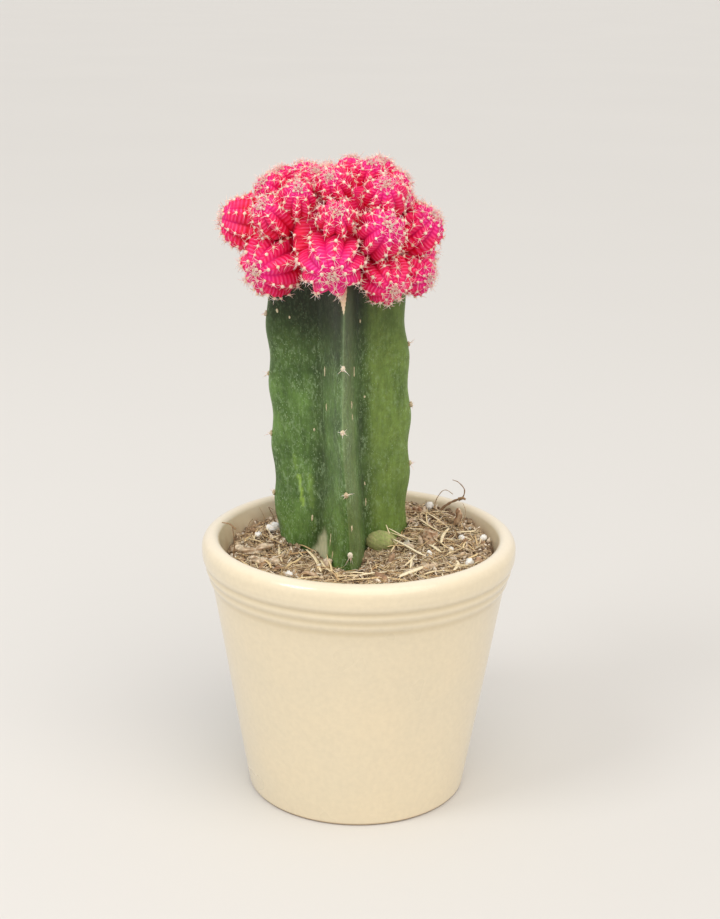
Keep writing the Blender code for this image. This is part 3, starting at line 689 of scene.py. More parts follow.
@dataclass
class Pot:
    """Turned pot: rolled rim, three soft steps under it, a tapering side, a foot ring and a drain hole."""

    height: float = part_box("pot")[1].z / MM
    rim_radius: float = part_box("pot")[1].x / MM
    crest_radius: float = 41.8
    lip_height: float = 3.3
    body_top: tuple = (41.95, 61.6)
    base_radius: float = 31.9
    base_corner: float = 1.2
    wall: float = 4.6
    floor_top: float = 6.5
    floor_fillet: float = 4.0
    foot_radius: float = 25.5
    foot_recess: float = 1.6
    drain_radius: float = 6.0
    inner_top: float = 73.0  # where the inner wall meets the lip's round
    inner_points: int = 33  # of the outline, from the floor's fillet to the lip
    columns: int = 200
    groove_floors: tuple = (68.8, 65.9, 62.9)
    groove_crests: tuple = (70.6, 67.5, 64.6)

    def inner_radius(self, height: Array | float) -> Array | float:
        """Radius of the wall's inside: the outside's straight slope, less the wall."""
        slope = (self.body_top[0] - self.base_radius) / self.body_top[1]
        return self.base_radius + slope * height - self.wall

    def outline(self) -> Array:
        """The wall's section, once round: lip, steps, side, foot, floor, inner wall and inner lip."""
        lip_foot = self.height - self.lip_height
        lip_size = (self.rim_radius - self.crest_radius, self.lip_height)
        lip = arc((self.crest_radius, lip_foot), lip_size, 90, 0, 14)
        steps = spline([(44.98, lip_foot - 0.9), (44.95, 71.5), (44.65, 70.1), (43.95, 68.9), (43.98, 67.5),
                        (43.28, 66.0), (43.1, 64.6), (42.42, 63.2), self.body_top], 5)
        side = np.linspace(self.body_top, (self.base_radius, self.base_corner), 16)[1:-1]
        corner = (self.base_radius - self.base_corner, self.base_corner)
        base = arc(corner, (self.base_corner, self.base_corner), 0, -90, 6)
        foot, recess, drain, floor = self.foot_radius, self.foot_recess, self.drain_radius, self.floor_top
        under = np.array([(28.5, 0.0), (foot + 0.3, 0.0), (foot, 0.2), (foot - 1.0, recess), (16.0, recess),
                          (drain + 0.5, recess), (drain, recess + 0.5), (drain, floor - 0.5),
                          (drain + 0.5, floor), (14.0, floor)])
        fillet_top = self.floor_top + self.floor_fillet
        fillet = arc((self.inner_radius(fillet_top) - self.floor_fillet, fillet_top),
                     (self.floor_fillet, self.floor_fillet), -90, 0, 6)
        low, high = ((self.inner_radius(z), z) for z in (fillet_top + 1.0, self.inner_top))
        inside = np.linspace(low, high, 18)
        lip_in = arc((self.crest_radius, 75.0), (1.9, 1.9), 172, 96, 9)
        return np.concatenate([lip, steps, side, base, under, fillet, inside, lip_in])

    def build(self) -> None:
        """Turns the outline round the axis: radius times (cos a, sin a), with the section's height.

        A wave of a twentieth of a millimetre, twice round, keeps it from looking machined.
        """
        outline = self.outline()
        angle = math.tau * np.arange(self.columns) / self.columns
        radius, height = outline[:, :1], outline[:, 1:]
        wave = 0.05 * np.sin(2 * angle + height / 11.0) * (height > 4.0)
        radius = radius + wave
        grid = revolved(radius, angle, height)
        inside = (np.arange(len(outline)) >= len(outline) - self.inner_points).astype(float)
        outer = (outline[:, 0] > self.inner_radius(outline[:, 1]) + self.wall - 1.0) & (inside < 0.5)
        pool = sum(np.exp(-((outline[:, 1] - z) / 0.9) ** 2) for z in self.groove_floors) * 0.5 * outer
        edge = sum(np.exp(-((outline[:, 1] - z) / 0.7) ** 2) for z in self.groove_crests) * 0.15 * outer
        # a painted highlight along the top of the lip
        edge += np.clip((outline[:, 1] - 75.6) / 1.3, 0.0, 1.0) * 0.5
        sculpt = Sculpt("pool", "edge", "inside")
        faces = grid_faces(len(outline), self.columns, wrap_rows=True)[:, ::-1]
        pool, edge, inside = (np.repeat(part, self.columns) for part in (pool, edge, inside))
        sculpt.add(grid.reshape(-1, 3), faces, pool=pool, edge=edge, inside=inside)
        fit(sculpt.build("glazed_pot", GlazedStoneware().make()), Slot.POT, "pot")


# ---------------------------------------------------------------- stem

@dataclass
class Stem:
    """Three-ribbed rootstock: a pillar of three blunt wings, bevelled at the top under the graft."""

    foot_z: float = 55.0
    top_z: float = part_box("stem")[1].z / MM
    soil_z: float = 70.4
    graft_z: float = 151.0
    foot_centre: tuple = (-4.3, 5.5)
    top_centre: tuple = (-7.2, 5.5)
    azimuths: tuple = (4.1, 120.0, 244.0)
    twist: float = 1.6  # degrees to each side
    twist_length: float = 80.0
    reaches: tuple = (22.6, 22.8, 23.0)
    first_areoles: tuple = (75.5, 74.8, 65.7)
    areole_spacing: float = 17.9
    valleys: tuple = ((7.2, 6.2), (8.4, 7.0), (9.2, 6.2))  # at the soil and higher up, after each rib
    valley_rise: float = 26.0
    bulge: float = 1.3
    wave: float = 0.5
    blunt: float = 0.42
    blunt_round: float = 3.0
    flare: float = 1.8
    foot_swell: float = 0.4
    foot_fade: float = 6.0
    bevel_z: float = 143.8
    bevel_slope: float = 0.36
    levels: int = 236
    half_steps: int = 27  # grid steps from a rib's edge to its valley
    streaks: tuple = (  # two ends as x and height, half width and strength, on the left face
        ((-17.6, 91.2), (-16.2, 83.0), 0.42, 0.8), ((-14.4, 92.0), (-13.8, 83.5), 0.7, 0.3),
        ((-19.0, 97.0), (-18.4, 93.0), 0.5, 0.25), ((-13.2, 80.0), (-13.0, 76.5), 0.5, 0.25))
    callus_centre: tuple = (6.4, 3.2, 72.9)
    callus_radii: tuple = (4.5, 2.7, 3.3)
    papery_spot: tuple = (-10.4, -2.4)  # the foot of the left valley, seen from above
    pad_size: tuple = (0.66, 0.85, 0.45)  # half sizes of an areole's pad
    marks: tuple = (
        # azimuth, height, half length up the stem, half width and tone of each scar
        (252.0, 138.8, 0.6, 0.4, 1.0), (256.5, 137.6, 0.45, 0.3, 0.9), (334.0, 124.6, 1.7, 0.42, 0.95),
        (335.0, 114.8, 0.9, 0.36, 0.8), (14.5, 116.8, 0.9, 0.42, 0.9), (16.5, 113.0, 0.8, 0.36, 0.8),
        (8.5, 83.2, 1.2, 0.6, 0.9), (17.0, 90.4, 0.5, 0.4, 0.8), (345.0, 76.6, 2.4, 0.4, 0.8),
        (348.0, 73.0, 1.6, 0.45, 0.5), (62.0, 89.0, 0.9, 0.26, 0.95), (72.0, 84.8, 1.3, 0.24, 0.95),
        (74.0, 90.6, 0.9, 0.3, 0.9), (78.0, 116.0, 0.5, 0.35, 0.9), (70.0, 138.0, 0.5, 0.4, 0.9),
        (286.0, 80.0, 1.2, 0.3, 0.9), (280.0, 106.0, 0.45, 0.35, 0.9), (24.0, 125.0, 1.4, 0.16, 0.85),
        (190.0, 108.0, 2.6, 0.6, 0.8), (172.0, 96.0, 1.4, 0.5, 0.9), (205.0, 84.0, 3.0, 1.0, 0.5),
        (160.0, 126.0, 0.9, 0.6, 0.9), (140.0, 88.0, 1.8, 0.3, 0.9), (222.0, 130.0, 1.2, 0.4, 0.85))

    def share(self, z: Array) -> Array:
        """How far up from the soil to the graft a height is, from 0 to 1."""
        return np.clip((z - self.soil_z) / (self.graft_z - self.soil_z), 0.0, 1.0)

    def centre(self, z: Array) -> Array:
        """The axis at a height: straight from the foot's centre to the top's."""
        share = self.share(z)[..., None]
        level = np.asarray(self.foot_centre) * (1.0 - share) + np.asarray(self.top_centre) * share
        return np.concatenate([level, z[..., None]], axis=-1)

    def azimuth(self, rib: int, z: Array) -> Array:
        """A rib's azimuth at a height: it sways once to each side in the length of the twist."""
        return self.azimuths[rib] + self.twist * np.cos(math.tau * (z - self.soil_z) / self.twist_length)

    def reach(self, rib: int, z: Array) -> Array:
        """How far a rib's edge stands out: a long bulge, less at the ends, with a ripple per areole."""
        long_bulge = self.reaches[rib] - self.bulge * (2.0 * self.share(z) - 1.1) ** 2
        phase = (z - self.first_areoles[rib]) / self.areole_spacing + 0.18
        return long_bulge + self.wave * np.cos(math.tau * phase)

    def valley(self, rib: int, z: Array) -> Array:
        """Radius of the valley after a rib, which narrows over the first part of the height."""
        low, high = self.valleys[rib % 3]
        return low + (high - low) * np.clip((z - self.soil_z) / self.valley_rise, 0.0, 1.0)

    def surface(self, z: Array) -> tuple[Array, dict[str, Array]]:
        """The skin's grid: for each height, out and back along each rib in turn.

        A point lies at its distance along the rib from the axis, and half the rib's thickness to one
        side. The thickness rises from the edge as 1 - exp(-inward), which rounds the edge, and flares
        to the valley as a power of the inward share. It swells close to the soil.

        Args:
            z: heights in millimetres.
        Returns:
            The grid in millimetres, and the channels that the skin's colour reads.
        """
        shares = np.linspace(0.0, 1.0, self.half_steps + 1) ** 1.5
        swell = self.foot_swell * np.exp(-np.maximum(0.0, z - self.soil_z) / self.foot_fade)[:, None]
        columns, channels = [], {name: [] for name in ("edge", "cut", "front", "sunny", "left", "fold")}
        for rib, azimuth in enumerate(self.azimuths):
            before = (azimuth - self.azimuths[rib - 1]) % 360.0 / 2.0
            after = (self.azimuths[(rib + 1) % 3] - azimuth) % 360.0 / 2.0
            turned = self.azimuth(rib, z)[:, None]
            edge_way, side_way = direction(turned, 0.0), direction(turned + 90.0, 0.0)
            reach = self.reach(rib, z)[:, None]
            limit = reach - np.maximum(0.0, z - self.bevel_z)[:, None] * self.bevel_slope
            for hand, half_gap, part in ((-1, before, shares[-2:0:-1]), (1, after, shares)):
                turn = math.radians(half_gap)
                valley = self.valley(rib if hand > 0 else rib - 1, z)[:, None]
                depth = reach - valley * math.cos(turn)
                inward = depth * part
                nose = self.blunt * (1.0 - np.exp(-inward / self.blunt_round))
                half = valley * math.sin(turn) * (nose + (1.0 - self.blunt) * part**self.flare)
                half = half * (1.0 + swell * (1.0 - part))
                along = np.minimum(reach - inward, limit)
                columns.append(edge_way * along[..., None] + side_way * (hand * half)[..., None])
                plain, flat = np.ones_like(inward), (reach - inward > limit + 0.02).astype(float)
                # nearness to a rib's crest, which carries a painted highlight
                channels["edge"].append(np.exp(-inward / 0.55))
                channels["cut"].append(flat * (1.0 if rib == 0 else 0.3))
                channels["front"].append(plain * (rib == 0 and hand > 0) * smooth_step(0.85, 0.45, part))
                # painted light on the right face, away from its valley
                channels["sunny"].append(plain * (rib == 1 and hand < 0) * smooth_step(1.0, 0.7, part))
                channels["left"].append(plain * (rib == 2 and hand > 0))
                # painted shade in the valleys between the ribs
                channels["fold"].append(plain * smooth_step(0.62, 1.0, part))
        grid = np.concatenate(columns, axis=1) + self.centre(z)[:, None]
        return grid, {name: np.concatenate(parts, axis=1) for name, parts in channels.items()}

    def skin(self) -> None:
        """The stem's own skin, with lumps of 10 and 2.5 mm that stand out along its normals.

        The skin has painted shadow near the graft, under the scion, and painted shade in the valleys; it is
        blotched at the lower left, and dry and papery at the foot of the left valley.
        """
        buried = np.linspace(self.foot_z, self.soil_z - 3.0, 12, endpoint=False)
        z = np.append(buried, np.linspace(self.soil_z - 3.0, self.top_z, self.levels))
        grid, channels = self.surface(z)
        lump = 0.18 * value_noise(grid, 10.0, 3) + 0.06 * value_noise(grid, 2.5, 8)
        lump = lump * smooth_step(0.0, 6.0, self.bevel_z - z)[:, None]
        grid = grid + grid_normals(grid) * lump[..., None]
        low, high = self.centre(z[:1])[0], self.centre(z[-1:])[0]
        up, left = z[:, None], channels.pop("left")
        ragged = value_noise(grid, 2.2, 15)
        channels["flecked"] = (0.3 + 0.7 * smooth_step(141.0, 122.0, up)) * (1.0 - 0.35 * channels["sunny"])
        channels["blotched"] = sum(self.streak(grid, left, *streak) for streak in self.streaks)
        # painted shadow of the scion near the graft, less on the lit right face and the front rib, and
        # painted shade in the valleys
        dim = 0.95 * smooth_step(112.0, 144.0, up)
        dim = dim * (1.0 - 0.6 * channels["sunny"] - 0.25 * channels["front"])
        channels["shade"] = np.maximum(dim, 0.55 * channels.pop("fold"))
        channels["front"] = channels["front"] * (0.75 + 0.25 * ragged)
        valley = np.linalg.norm(grid[..., :2] - self.papery_spot, axis=-1)
        tongue = smooth_step(6.0, 3.4, valley + (up - self.soil_z) * 0.5 + 1.2 * ragged)
        channels["papery"] = tongue * smooth_step(80.0, 76.0, up)
        # the painted crest highlight only from 92 mm up
        channels["edge"] = channels["edge"] * smooth_step(92.0, 112.0, up)
        sculpt = Sculpt(*channels)
        values = {name: np.append(part.ravel(), [0.0, 0.0]) for name, part in channels.items()}
        sculpt.add(*closed_skin(grid, low, high), **values)
        fit(sculpt.build("rootstock", StemSkin().make()), Slot.STEM, "stem")

    @staticmethod
    def streak(grid: Array, where: Array, start: tuple, end: tuple, half_width: float,
               strength: float) -> Array:
        """A light streak between two points of the skin, seen from the front, with ragged edges."""
        flat = grid[..., [0, 2]]
        run = np.subtract(end, start)
        share = np.clip((flat - start) @ run / (run @ run), 0.0, 1.0)
        away = np.linalg.norm(flat - start - share[..., None] * run, axis=-1)
        away = away + 0.5 * half_width * value_noise(grid, 0.9, 17)
        return strength * where * smooth_step(half_width * 1.5, half_width * 0.5, away)

    def on_skin(self, azimuths: Array, heights: Array) -> tuple[Array, Array]:
        """Points and outward normals where level rays from the axis meet the skin.

        Args:
            azimuths: the rays' directions in degrees.
            heights: their heights in millimetres.
        Returns:
            Points in millimetres, and unit normals.
        """
        places, normals = [], []
        for azimuth, height in zip(azimuths, heights):
            z = np.array([height - 0.5, height, height + 0.5])
            grid = self.surface(z)[0]
            ways = grid_normals(grid)[1]
            offset = grid[1] - self.centre(z)[1]
            turn = np.degrees(np.arctan2(offset[:, 0], -offset[:, 1]))
            apart = np.abs((turn - azimuth + 180.0) % 360.0 - 180.0)
            best = np.lexsort((-np.hypot(offset[:, 0], offset[:, 1]), np.round(apart / 2.0)))[0]
            places.append(grid[1, best])
            normals.append(ways[best])
        return np.array(places), np.array(normals)

    def areoles(self) -> None:
        """Woolly pads with short spines on the rib edges, and three long ones at the front's foot."""
        draw = np.random.default_rng(31)
        pads, spines = Sculpt("tone", "along"), Sculpt("tone", "along")
        ball = dome(10, 6)
        for rib in range(len(self.azimuths)):
            heights = np.arange(self.first_areoles[rib], self.bevel_z, self.areole_spacing)
            heights = heights[heights > self.soil_z + 2.0]
            turns = self.azimuth(rib, heights)
            ways = direction(turns, 0.0)
            places = self.centre(heights) + ways * self.reach(rib, heights)[:, None]
            for number, (place, way, turn) in enumerate(zip(places, ways, turns)):
                size = np.array(self.pad_size) * draw.uniform(0.9, 1.2)
                turned = frames_on(way[None], np.array([0.0])) * size
                points, *faces = stamp(ball, turned, (place + way * 0.1)[None])
                ragged = np.stack([value_noise(points, 0.4, seed) for seed in (5, 6, 7)], axis=-1)
                drooping = rib == 0 and number == 0
                tone = 1.0 if drooping else draw.uniform(0.1, 0.8)
                pads.add(points + 0.2 * ragged, *faces, tone=tone, along=0.0)
                count = 3 if drooping else int(draw.integers(4, 7))
                spread = np.linspace(-70.0, 70.0, count) + draw.uniform(-12, 12, count)
                lift = np.full(count, -62.0) if drooping else draw.uniform(-50, 40, count)
                length = draw.uniform(2.6, 4.2, count) if drooping else draw.uniform(1.4, 3.0, count)
                heading = direction(turn + spread * (0.7 if drooping else 1.0), lift)
                self.grow(spines, place, heading, length, 0.11, -0.2 * way, draw)
        fit(pads.build("rootstock_areoles", AREOLE_CORK.make()), Slot.STEM)
        fit(spines.build("rootstock_spines", SPINE.make()), Slot.STEM)

    @staticmethod
    def grow(sculpt: Sculpt, root: Array, heading: Array, length: Array, thick: float,
             droop: Array, draw: np.random.Generator) -> None:
        """Adds tapering spines: root + heading * t + droop * t^2, five-sided and closed at the tip."""
        t = np.linspace(0.0, 1.0, 6)
        bend = droop + draw.uniform(-0.12, 0.12, heading.shape)
        curve = heading[:, None] * t[:, None] + bend[:, None] * (t * t)[:, None]
        paths = root + curve * length[:, None, None]
        radii = thick * (1.0 - 0.8 * t)[None] * np.ones((len(heading), 1))
        sculpt.add_tubes(paths, radii, 5, draw.uniform(0.1, 0.9), t)

    def scars(self) -> None:
        """Dry corky scars on the skin, and the callus at the foot, which is ridged in shells."""
        marks = np.array(self.marks)
        places, normals = self.on_skin(marks[:, 0], marks[:, 1])
        sculpt = Sculpt("tone", "along")
        ball = dome(18, 9)
        for mark, place, normal in zip(marks, places, normals):
            upward = unit(np.array([0.0, 0.0, 1.0]) - normal * normal[2])
            frame_ = np.stack([np.cross(upward, normal) * mark[3], upward * mark[2], normal * 0.16], axis=-1)
            points, *faces = stamp(ball, frame_[None], place[None])
            ragged = value_noise(points, 0.5, 4)[:, None]
            points = points + (points - place) * ragged * 0.55
            sculpt.add(points, *faces, tone=np.clip(mark[4] + 0.2 * ragged[:, 0], 0.0, 1.0), along=0.0)
        points, *faces = dome(64, 40)
        shells = 0.012 * np.sin(points[:, 0] * 9.0 + points[:, 2] * 16.0)
        points = points * (1.0 + shells)[:, None] * self.callus_radii + self.callus_centre
        points = points + unit(points - self.callus_centre) * (0.1 * value_noise(points, 1.4, 6))[:, None]
        ridged = 0.08 * np.sin(points[:, 0] * 3.1 + points[:, 2] * 5.4)
        tone = 0.16 + 0.16 * value_noise(points, 1.6, 9) + ridged
        sculpt.add(points, *faces, tone=tone, along=0.0)
        fit(sculpt.build("rootstock_scars", CORK.make()), Slot.STEM)

    def build(self) -> None:
        """Builds the skin, the areoles and the scars."""
        self.skin()
        self.areoles()
        self.scars()

    def outline_radius(self, offsets: Array) -> Array:
        """How far the stem reaches at the mix's level, in the direction of each offset from its axis."""
        grid = self.surface(np.array([self.soil_z]))[0][0] - self.centre(np.array([self.soil_z]))[0]
        turn = np.arctan2(grid[:, 1], grid[:, 0])
        order = np.argsort(turn)
        return np.interp(np.arctan2(offsets[..., 1], offsets[..., 0]), turn[order],
                         np.hypot(grid[:, 0], grid[:, 1])[order], period=math.tau)


# ---------------------------------------------------------------- potting mix

@dataclass
class PottingMix:
    """Coir, peat and bark that fills the pot, with perlite, straw and a few dried roots on top."""

    pot: Pot
    stem: Stem
    level: float = 70.4
    tilt: float = 0.045
    bank: float = 0.1
    lump: float = 0.75
    edge_gap: float = 0.45
    crumbs: int = 3500
    fibres: int = 1500
    shreds: int = 1300
    straws: int = 300
    chips: int = 52
    small_perlite: int = 34
    large_perlite: tuple = (
        (-29.7, 12.2), (-26.5, 16.4), (-25.2, 18.6), (-19.3, -17.6), (21.3, 28.3), (26.6, 0.1),
        (20.1, -5.2), (30.0, 7.1), (36.2, 6.2), (14.0, 5.3), (12.0, 26.0), (-8.0, 27.0),
        (-18.0, 24.0), (31.0, -14.0), (3.0, 31.0))

    def height(self, x: Array, y: Array) -> Array:
        """The surface: higher to the right and the back, with lumps that are products of sines."""
        lumps = np.sin(x * 0.61 + y * 0.34 + 0.6) * np.sin(y * 0.72 - x * 0.26 + 1.9)
        lumps += 0.6 * np.sin(x * 1.31 - y * 0.9 + 2.2) * np.sin(y * 1.17 + x * 0.48)
        return self.level + self.tilt * x + self.bank * np.maximum(0.0, y) + self.lump * lumps

    @property
    def radius(self) -> float:
        """The surface's radius at the wall."""
        return self.pot.inner_radius(self.level) - self.edge_gap

    def clear(self, points: Array, margin: float) -> Array:
        """Whether each point is inside the wall and outside the stem, by a margin."""
        inside = np.hypot(points[..., 0], points[..., 1]) < self.radius - margin
        offset = points[..., :2] - np.asarray(self.stem.foot_centre)
        away = np.hypot(offset[..., 0], offset[..., 1])
        return inside & (away > self.stem.outline_radius(offset) + margin)

    def bed(self) -> None:
        """The body of the mix: up the wall in rings, then inwards over the crumbly surface.

        The surface is the lumps plus noise of 3.2, 1.3 and 0.6 mm.
        """
        turn = math.tau * np.arange(220) / 220
        ring = np.stack([np.cos(turn), np.sin(turn)], axis=-1)
        floor = self.pot.floor_top + 0.3
        shoulder = floor + self.pot.floor_fillet + 1.5
        walls = [(self.pot.inner_radius(floor) - self.pot.floor_fillet - 0.3, floor),
                 (self.pot.inner_radius(shoulder) - self.edge_gap, shoulder),
                 (self.pot.inner_radius(64.0) - self.edge_gap, 64.0)]
        rows = [np.column_stack([ring * radius, np.full(len(ring), z)]) for radius, z in walls]
        shares = np.linspace(1.0, 0.02, 74)
        flat = ring[None] * (self.radius * shares)[:, None, None]
        place = np.concatenate([flat, np.zeros((*flat.shape[:2], 1))], axis=-1)
        rough = (0.55 * value_noise(place, 3.2, 1) + 0.4 * value_noise(place, 1.3, 2)
                 + 0.22 * value_noise(place, 0.6, 3))
        top = self.height(flat[..., 0], flat[..., 1]) + rough - 0.25
        grid = np.concatenate([np.array(rows), np.concatenate([flat, top[..., None]], axis=-1)])
        middle = (np.array([0.0, 0.0, z]) for z in (floor, self.height(0.0, 0.0)))
        points, *faces = closed_skin(grid, *middle)
        sculpt = Sculpt("tone", "along")
        tone = 0.18 + 0.4 * value_noise(points, 2.2, 4)
        sculpt.add(points, *faces, tone=np.clip(tone, 0.0, 1.0), along=0.0)
        fit(sculpt.build("mix_bed", PEAT.make()), Slot.SOIL, "soil")

    def scatter(self, draw: np.random.Generator, count: int, margin: float) -> Array:
        """Random places on the surface, clear of the wall and the stem, of shape (count, 3)."""
        found = np.empty((0, 3))
        while len(found) < count:
            flat = draw.uniform(-self.radius, self.radius, (count, 2))
            places = np.column_stack([flat, self.height(flat[:, 0], flat[:, 1])])
            found = np.concatenate([found, places[self.clear(places, margin)]])
        return found[:count]

    def grains(self, name: str, finish: Grown, places: Array, sizes: Array, ball: tuple,
               tones: Array, ragged: float, seed: int) -> None:
        """One piece of many grains: balls turned at random, stretched, and pushed about by noise.

        Args:
            name: the piece's name.
            finish: its finish.
            places: the grains' middles, in millimetres.
            sizes: their three half sizes, of shape (grains, 3).
            ball: the shape that is stretched.
            tones: how light each grain is.
            ragged: how far noise moves a point, as a share of its distance from the middle.
            seed: picks the turns and the noise.
        """
        draw = np.random.default_rng(seed)
        turned = np.linalg.qr(draw.normal(size=(len(places), 3, 3)))[0] * sizes[:, None]
        points, *faces = stamp(ball, turned, places)
        middle = np.repeat(places, len(ball[0]), axis=0)
        push = ragged * value_noise(points, float(sizes.mean()) * 0.7, seed)
        moved = points + (points - middle) * push[:, None]
        sculpt = Sculpt("tone", "along")
        sculpt.add(moved, *faces, tone=np.repeat(tones, len(ball[0])), along=0.0)
        fit(sculpt.build(name, finish.make(), smooth=finish is PERLITE), Slot.SOIL)

    def strands(self, name: str, finish: Grown, count: int, lengths: tuple, widths: tuple,
                curl: float, flat: float, rings: int, seed: int) -> None:
        """One piece of many fibres that lie on the surface, some with an end in the air.

        A fibre's heading turns evenly along it, so that it is an arc seen from above. It follows the
        surface's broad slope, plus an arch and a lift of one end.

        Args:
            name: the piece's name.
            finish: its finish.
            count: how many fibres are tried; those that would leave the surface are dropped.
            lengths: the shortest and the longest.
            widths: the thinnest and the thickest, as radii.
            curl: how far a fibre's heading usually turns, in radians.
            flat: a fibre's thickness as a share of its width.
            rings: how many rings of points a fibre has.
            seed: picks the draw.
        """
        draw = np.random.default_rng(seed)
        start = self.scatter(draw, count, 0.6)
        length = draw.uniform(*lengths, count) * draw.uniform(0.5, 1.0, count)
        heading = draw.uniform(0.0, math.tau, count)
        bent = draw.normal(0.0, curl, count)
        t = np.linspace(0.0, 1.0, rings)
        turn = heading[:, None] + bent[:, None] * t
        pace = (length / (rings - 1))[:, None]
        x = start[:, :1] + np.cumsum(np.cos(turn) * pace, axis=1)
        y = start[:, 1:2] + np.cumsum(np.sin(turn) * pace, axis=1)
        arch = draw.uniform(0.1, 0.9, count)[:, None] * np.sin(math.pi * t) * (length / 9.0)[:, None]
        lift = np.maximum(0.0, draw.normal(-0.4, 1.0, count))[:, None] * t**2 * (length / 5.0)[:, None]
        width = draw.uniform(*widths, count)
        z = self.resting(self.height(x, y)) + draw.uniform(-0.1, 0.5, count)[:, None]
        z = z + arch + lift + width[:, None]
        paths = np.stack([x, y, z], axis=-1)
        keep = self.clear(paths, 0.3).all(axis=1)
        paths, width, count = paths[keep], width[keep], int(keep.sum())
        radii = width[:, None] * (1.0 - 0.5 * np.abs(2.0 * t - 1.0) ** 3)
        thin = unit(np.array([0.0, 0.0, 1.0]) + draw.normal(0.0, 0.35, (count, 3)))
        sides = 5 if flat < 1.0 else 4
        sculpt = Sculpt("tone", "along")
        sculpt.add_tubes(paths, radii, sides, draw.uniform(0.0, 1.0, count), t, thin, flat)
        fit(sculpt.build(name, finish.make()), Slot.SOIL)

    @staticmethod
    def resting(ground: Array) -> Array:
        """Heights of straight things that rest on the ground: the line between the ends, raised clear."""
        t = np.linspace(0.0, 1.0, ground.shape[1])
        line = ground[:, :1] * (1.0 - t) + ground[:, -1:] * t
        return line + 0.7 * (ground - line).max(axis=1, keepdims=True)

    def roots(self) -> None:
        """Dried roots and a stalk that stand up by the wall, each a smooth curve through a few knots."""
        curves = (
            # knots, radius at the root and at the tip
            ([(23.6, 25.6, 71.6), (24.7, 26.0, 75.1), (27.1, 26.2, 77.3), (30.1, 26.0, 78.7)], 0.42, 0.34),
            ([(30.1, 26.0, 78.7), (31.4, 25.9, 79.7), (31.5, 25.8, 82.0), (29.8, 25.9, 84.0),
              (28.0, 26.0, 84.8)], 0.22, 0.1),
            ([(30.0, 26.0, 78.6), (31.2, 25.4, 79.2), (32.0, 25.0, 78.9)], 0.55, 0.3),
            ([(22.7, 27.0, 71.6), (22.9, 27.0, 76.3), (23.5, 27.0, 78.6), (24.9, 27.0, 80.8),
              (26.4, 27.0, 81.1), (28.3, 27.0, 79.9)], 0.14, 0.1),
            ([(20.4, 27.5, 72.0), (20.3, 27.0, 75.4), (20.2, 27.0, 77.9)], 0.12, 0.07),
            ([(-36.2, -4.6, 68.2), (-35.4, -5.6, 74.0), (-35.9, -6.0, 80.0)], 0.17, 0.15),
            ([(-34.9, -6.0, 79.4), (-36.6, -6.1, 80.8), (-38.9, -6.2, 81.3)], 0.3, 0.14),
            ([(-29.0, 21.0, 69.8), (-28.6, 22.0, 73.4), (-30.1, 22.6, 76.4)], 0.13, 0.07),
            ([(-24.9, 22.0, 70.6), (-26.2, 21.0, 75.2), (-27.2, 20.8, 77.0),
              (-25.8, 20.0, 76.6)], 0.13, 0.08),
            ([(-33.6, 14.0, 69.0), (-33.0, 15.0, 72.8), (-31.6, 15.6, 75.0)], 0.12, 0.07),
            ([(-27.6, 8.0, 69.6), (-27.2, 7.4, 73.2), (-27.8, 7.0, 75.0)], 0.14, 0.08),
            ([(31.0, 18.0, 73.2), (31.8, 19.4, 77.0), (30.8, 20.0, 79.4)], 0.1, 0.06),
            ([(33.4, 12.0, 72.0), (34.2, 13.0, 74.5), (33.2, 14.5, 76.2), (31.4, 15.2, 76.0)], 0.14, 0.08),
        )
        sculpt = Sculpt("tone", "along")
        for number, (knots, root, tip) in enumerate(curves):
            path = spline(np.array(knots), 7)
            t = np.linspace(0.0, 1.0, len(path))
            path = path + 0.12 * np.stack([value_noise(path, 1.4, 20 + axis) for axis in range(3)], axis=-1)
            radii = (root + (tip - root) * t) * (1.0 + 0.18 * np.sin(t * 31.0 + number))
            sculpt.add_tubes(path[None], radii[None], 8, 0.2 + 0.15 * (number % 4), t)
        fit(sculpt.build("dried_roots", ROOT.make()), Slot.SOIL)

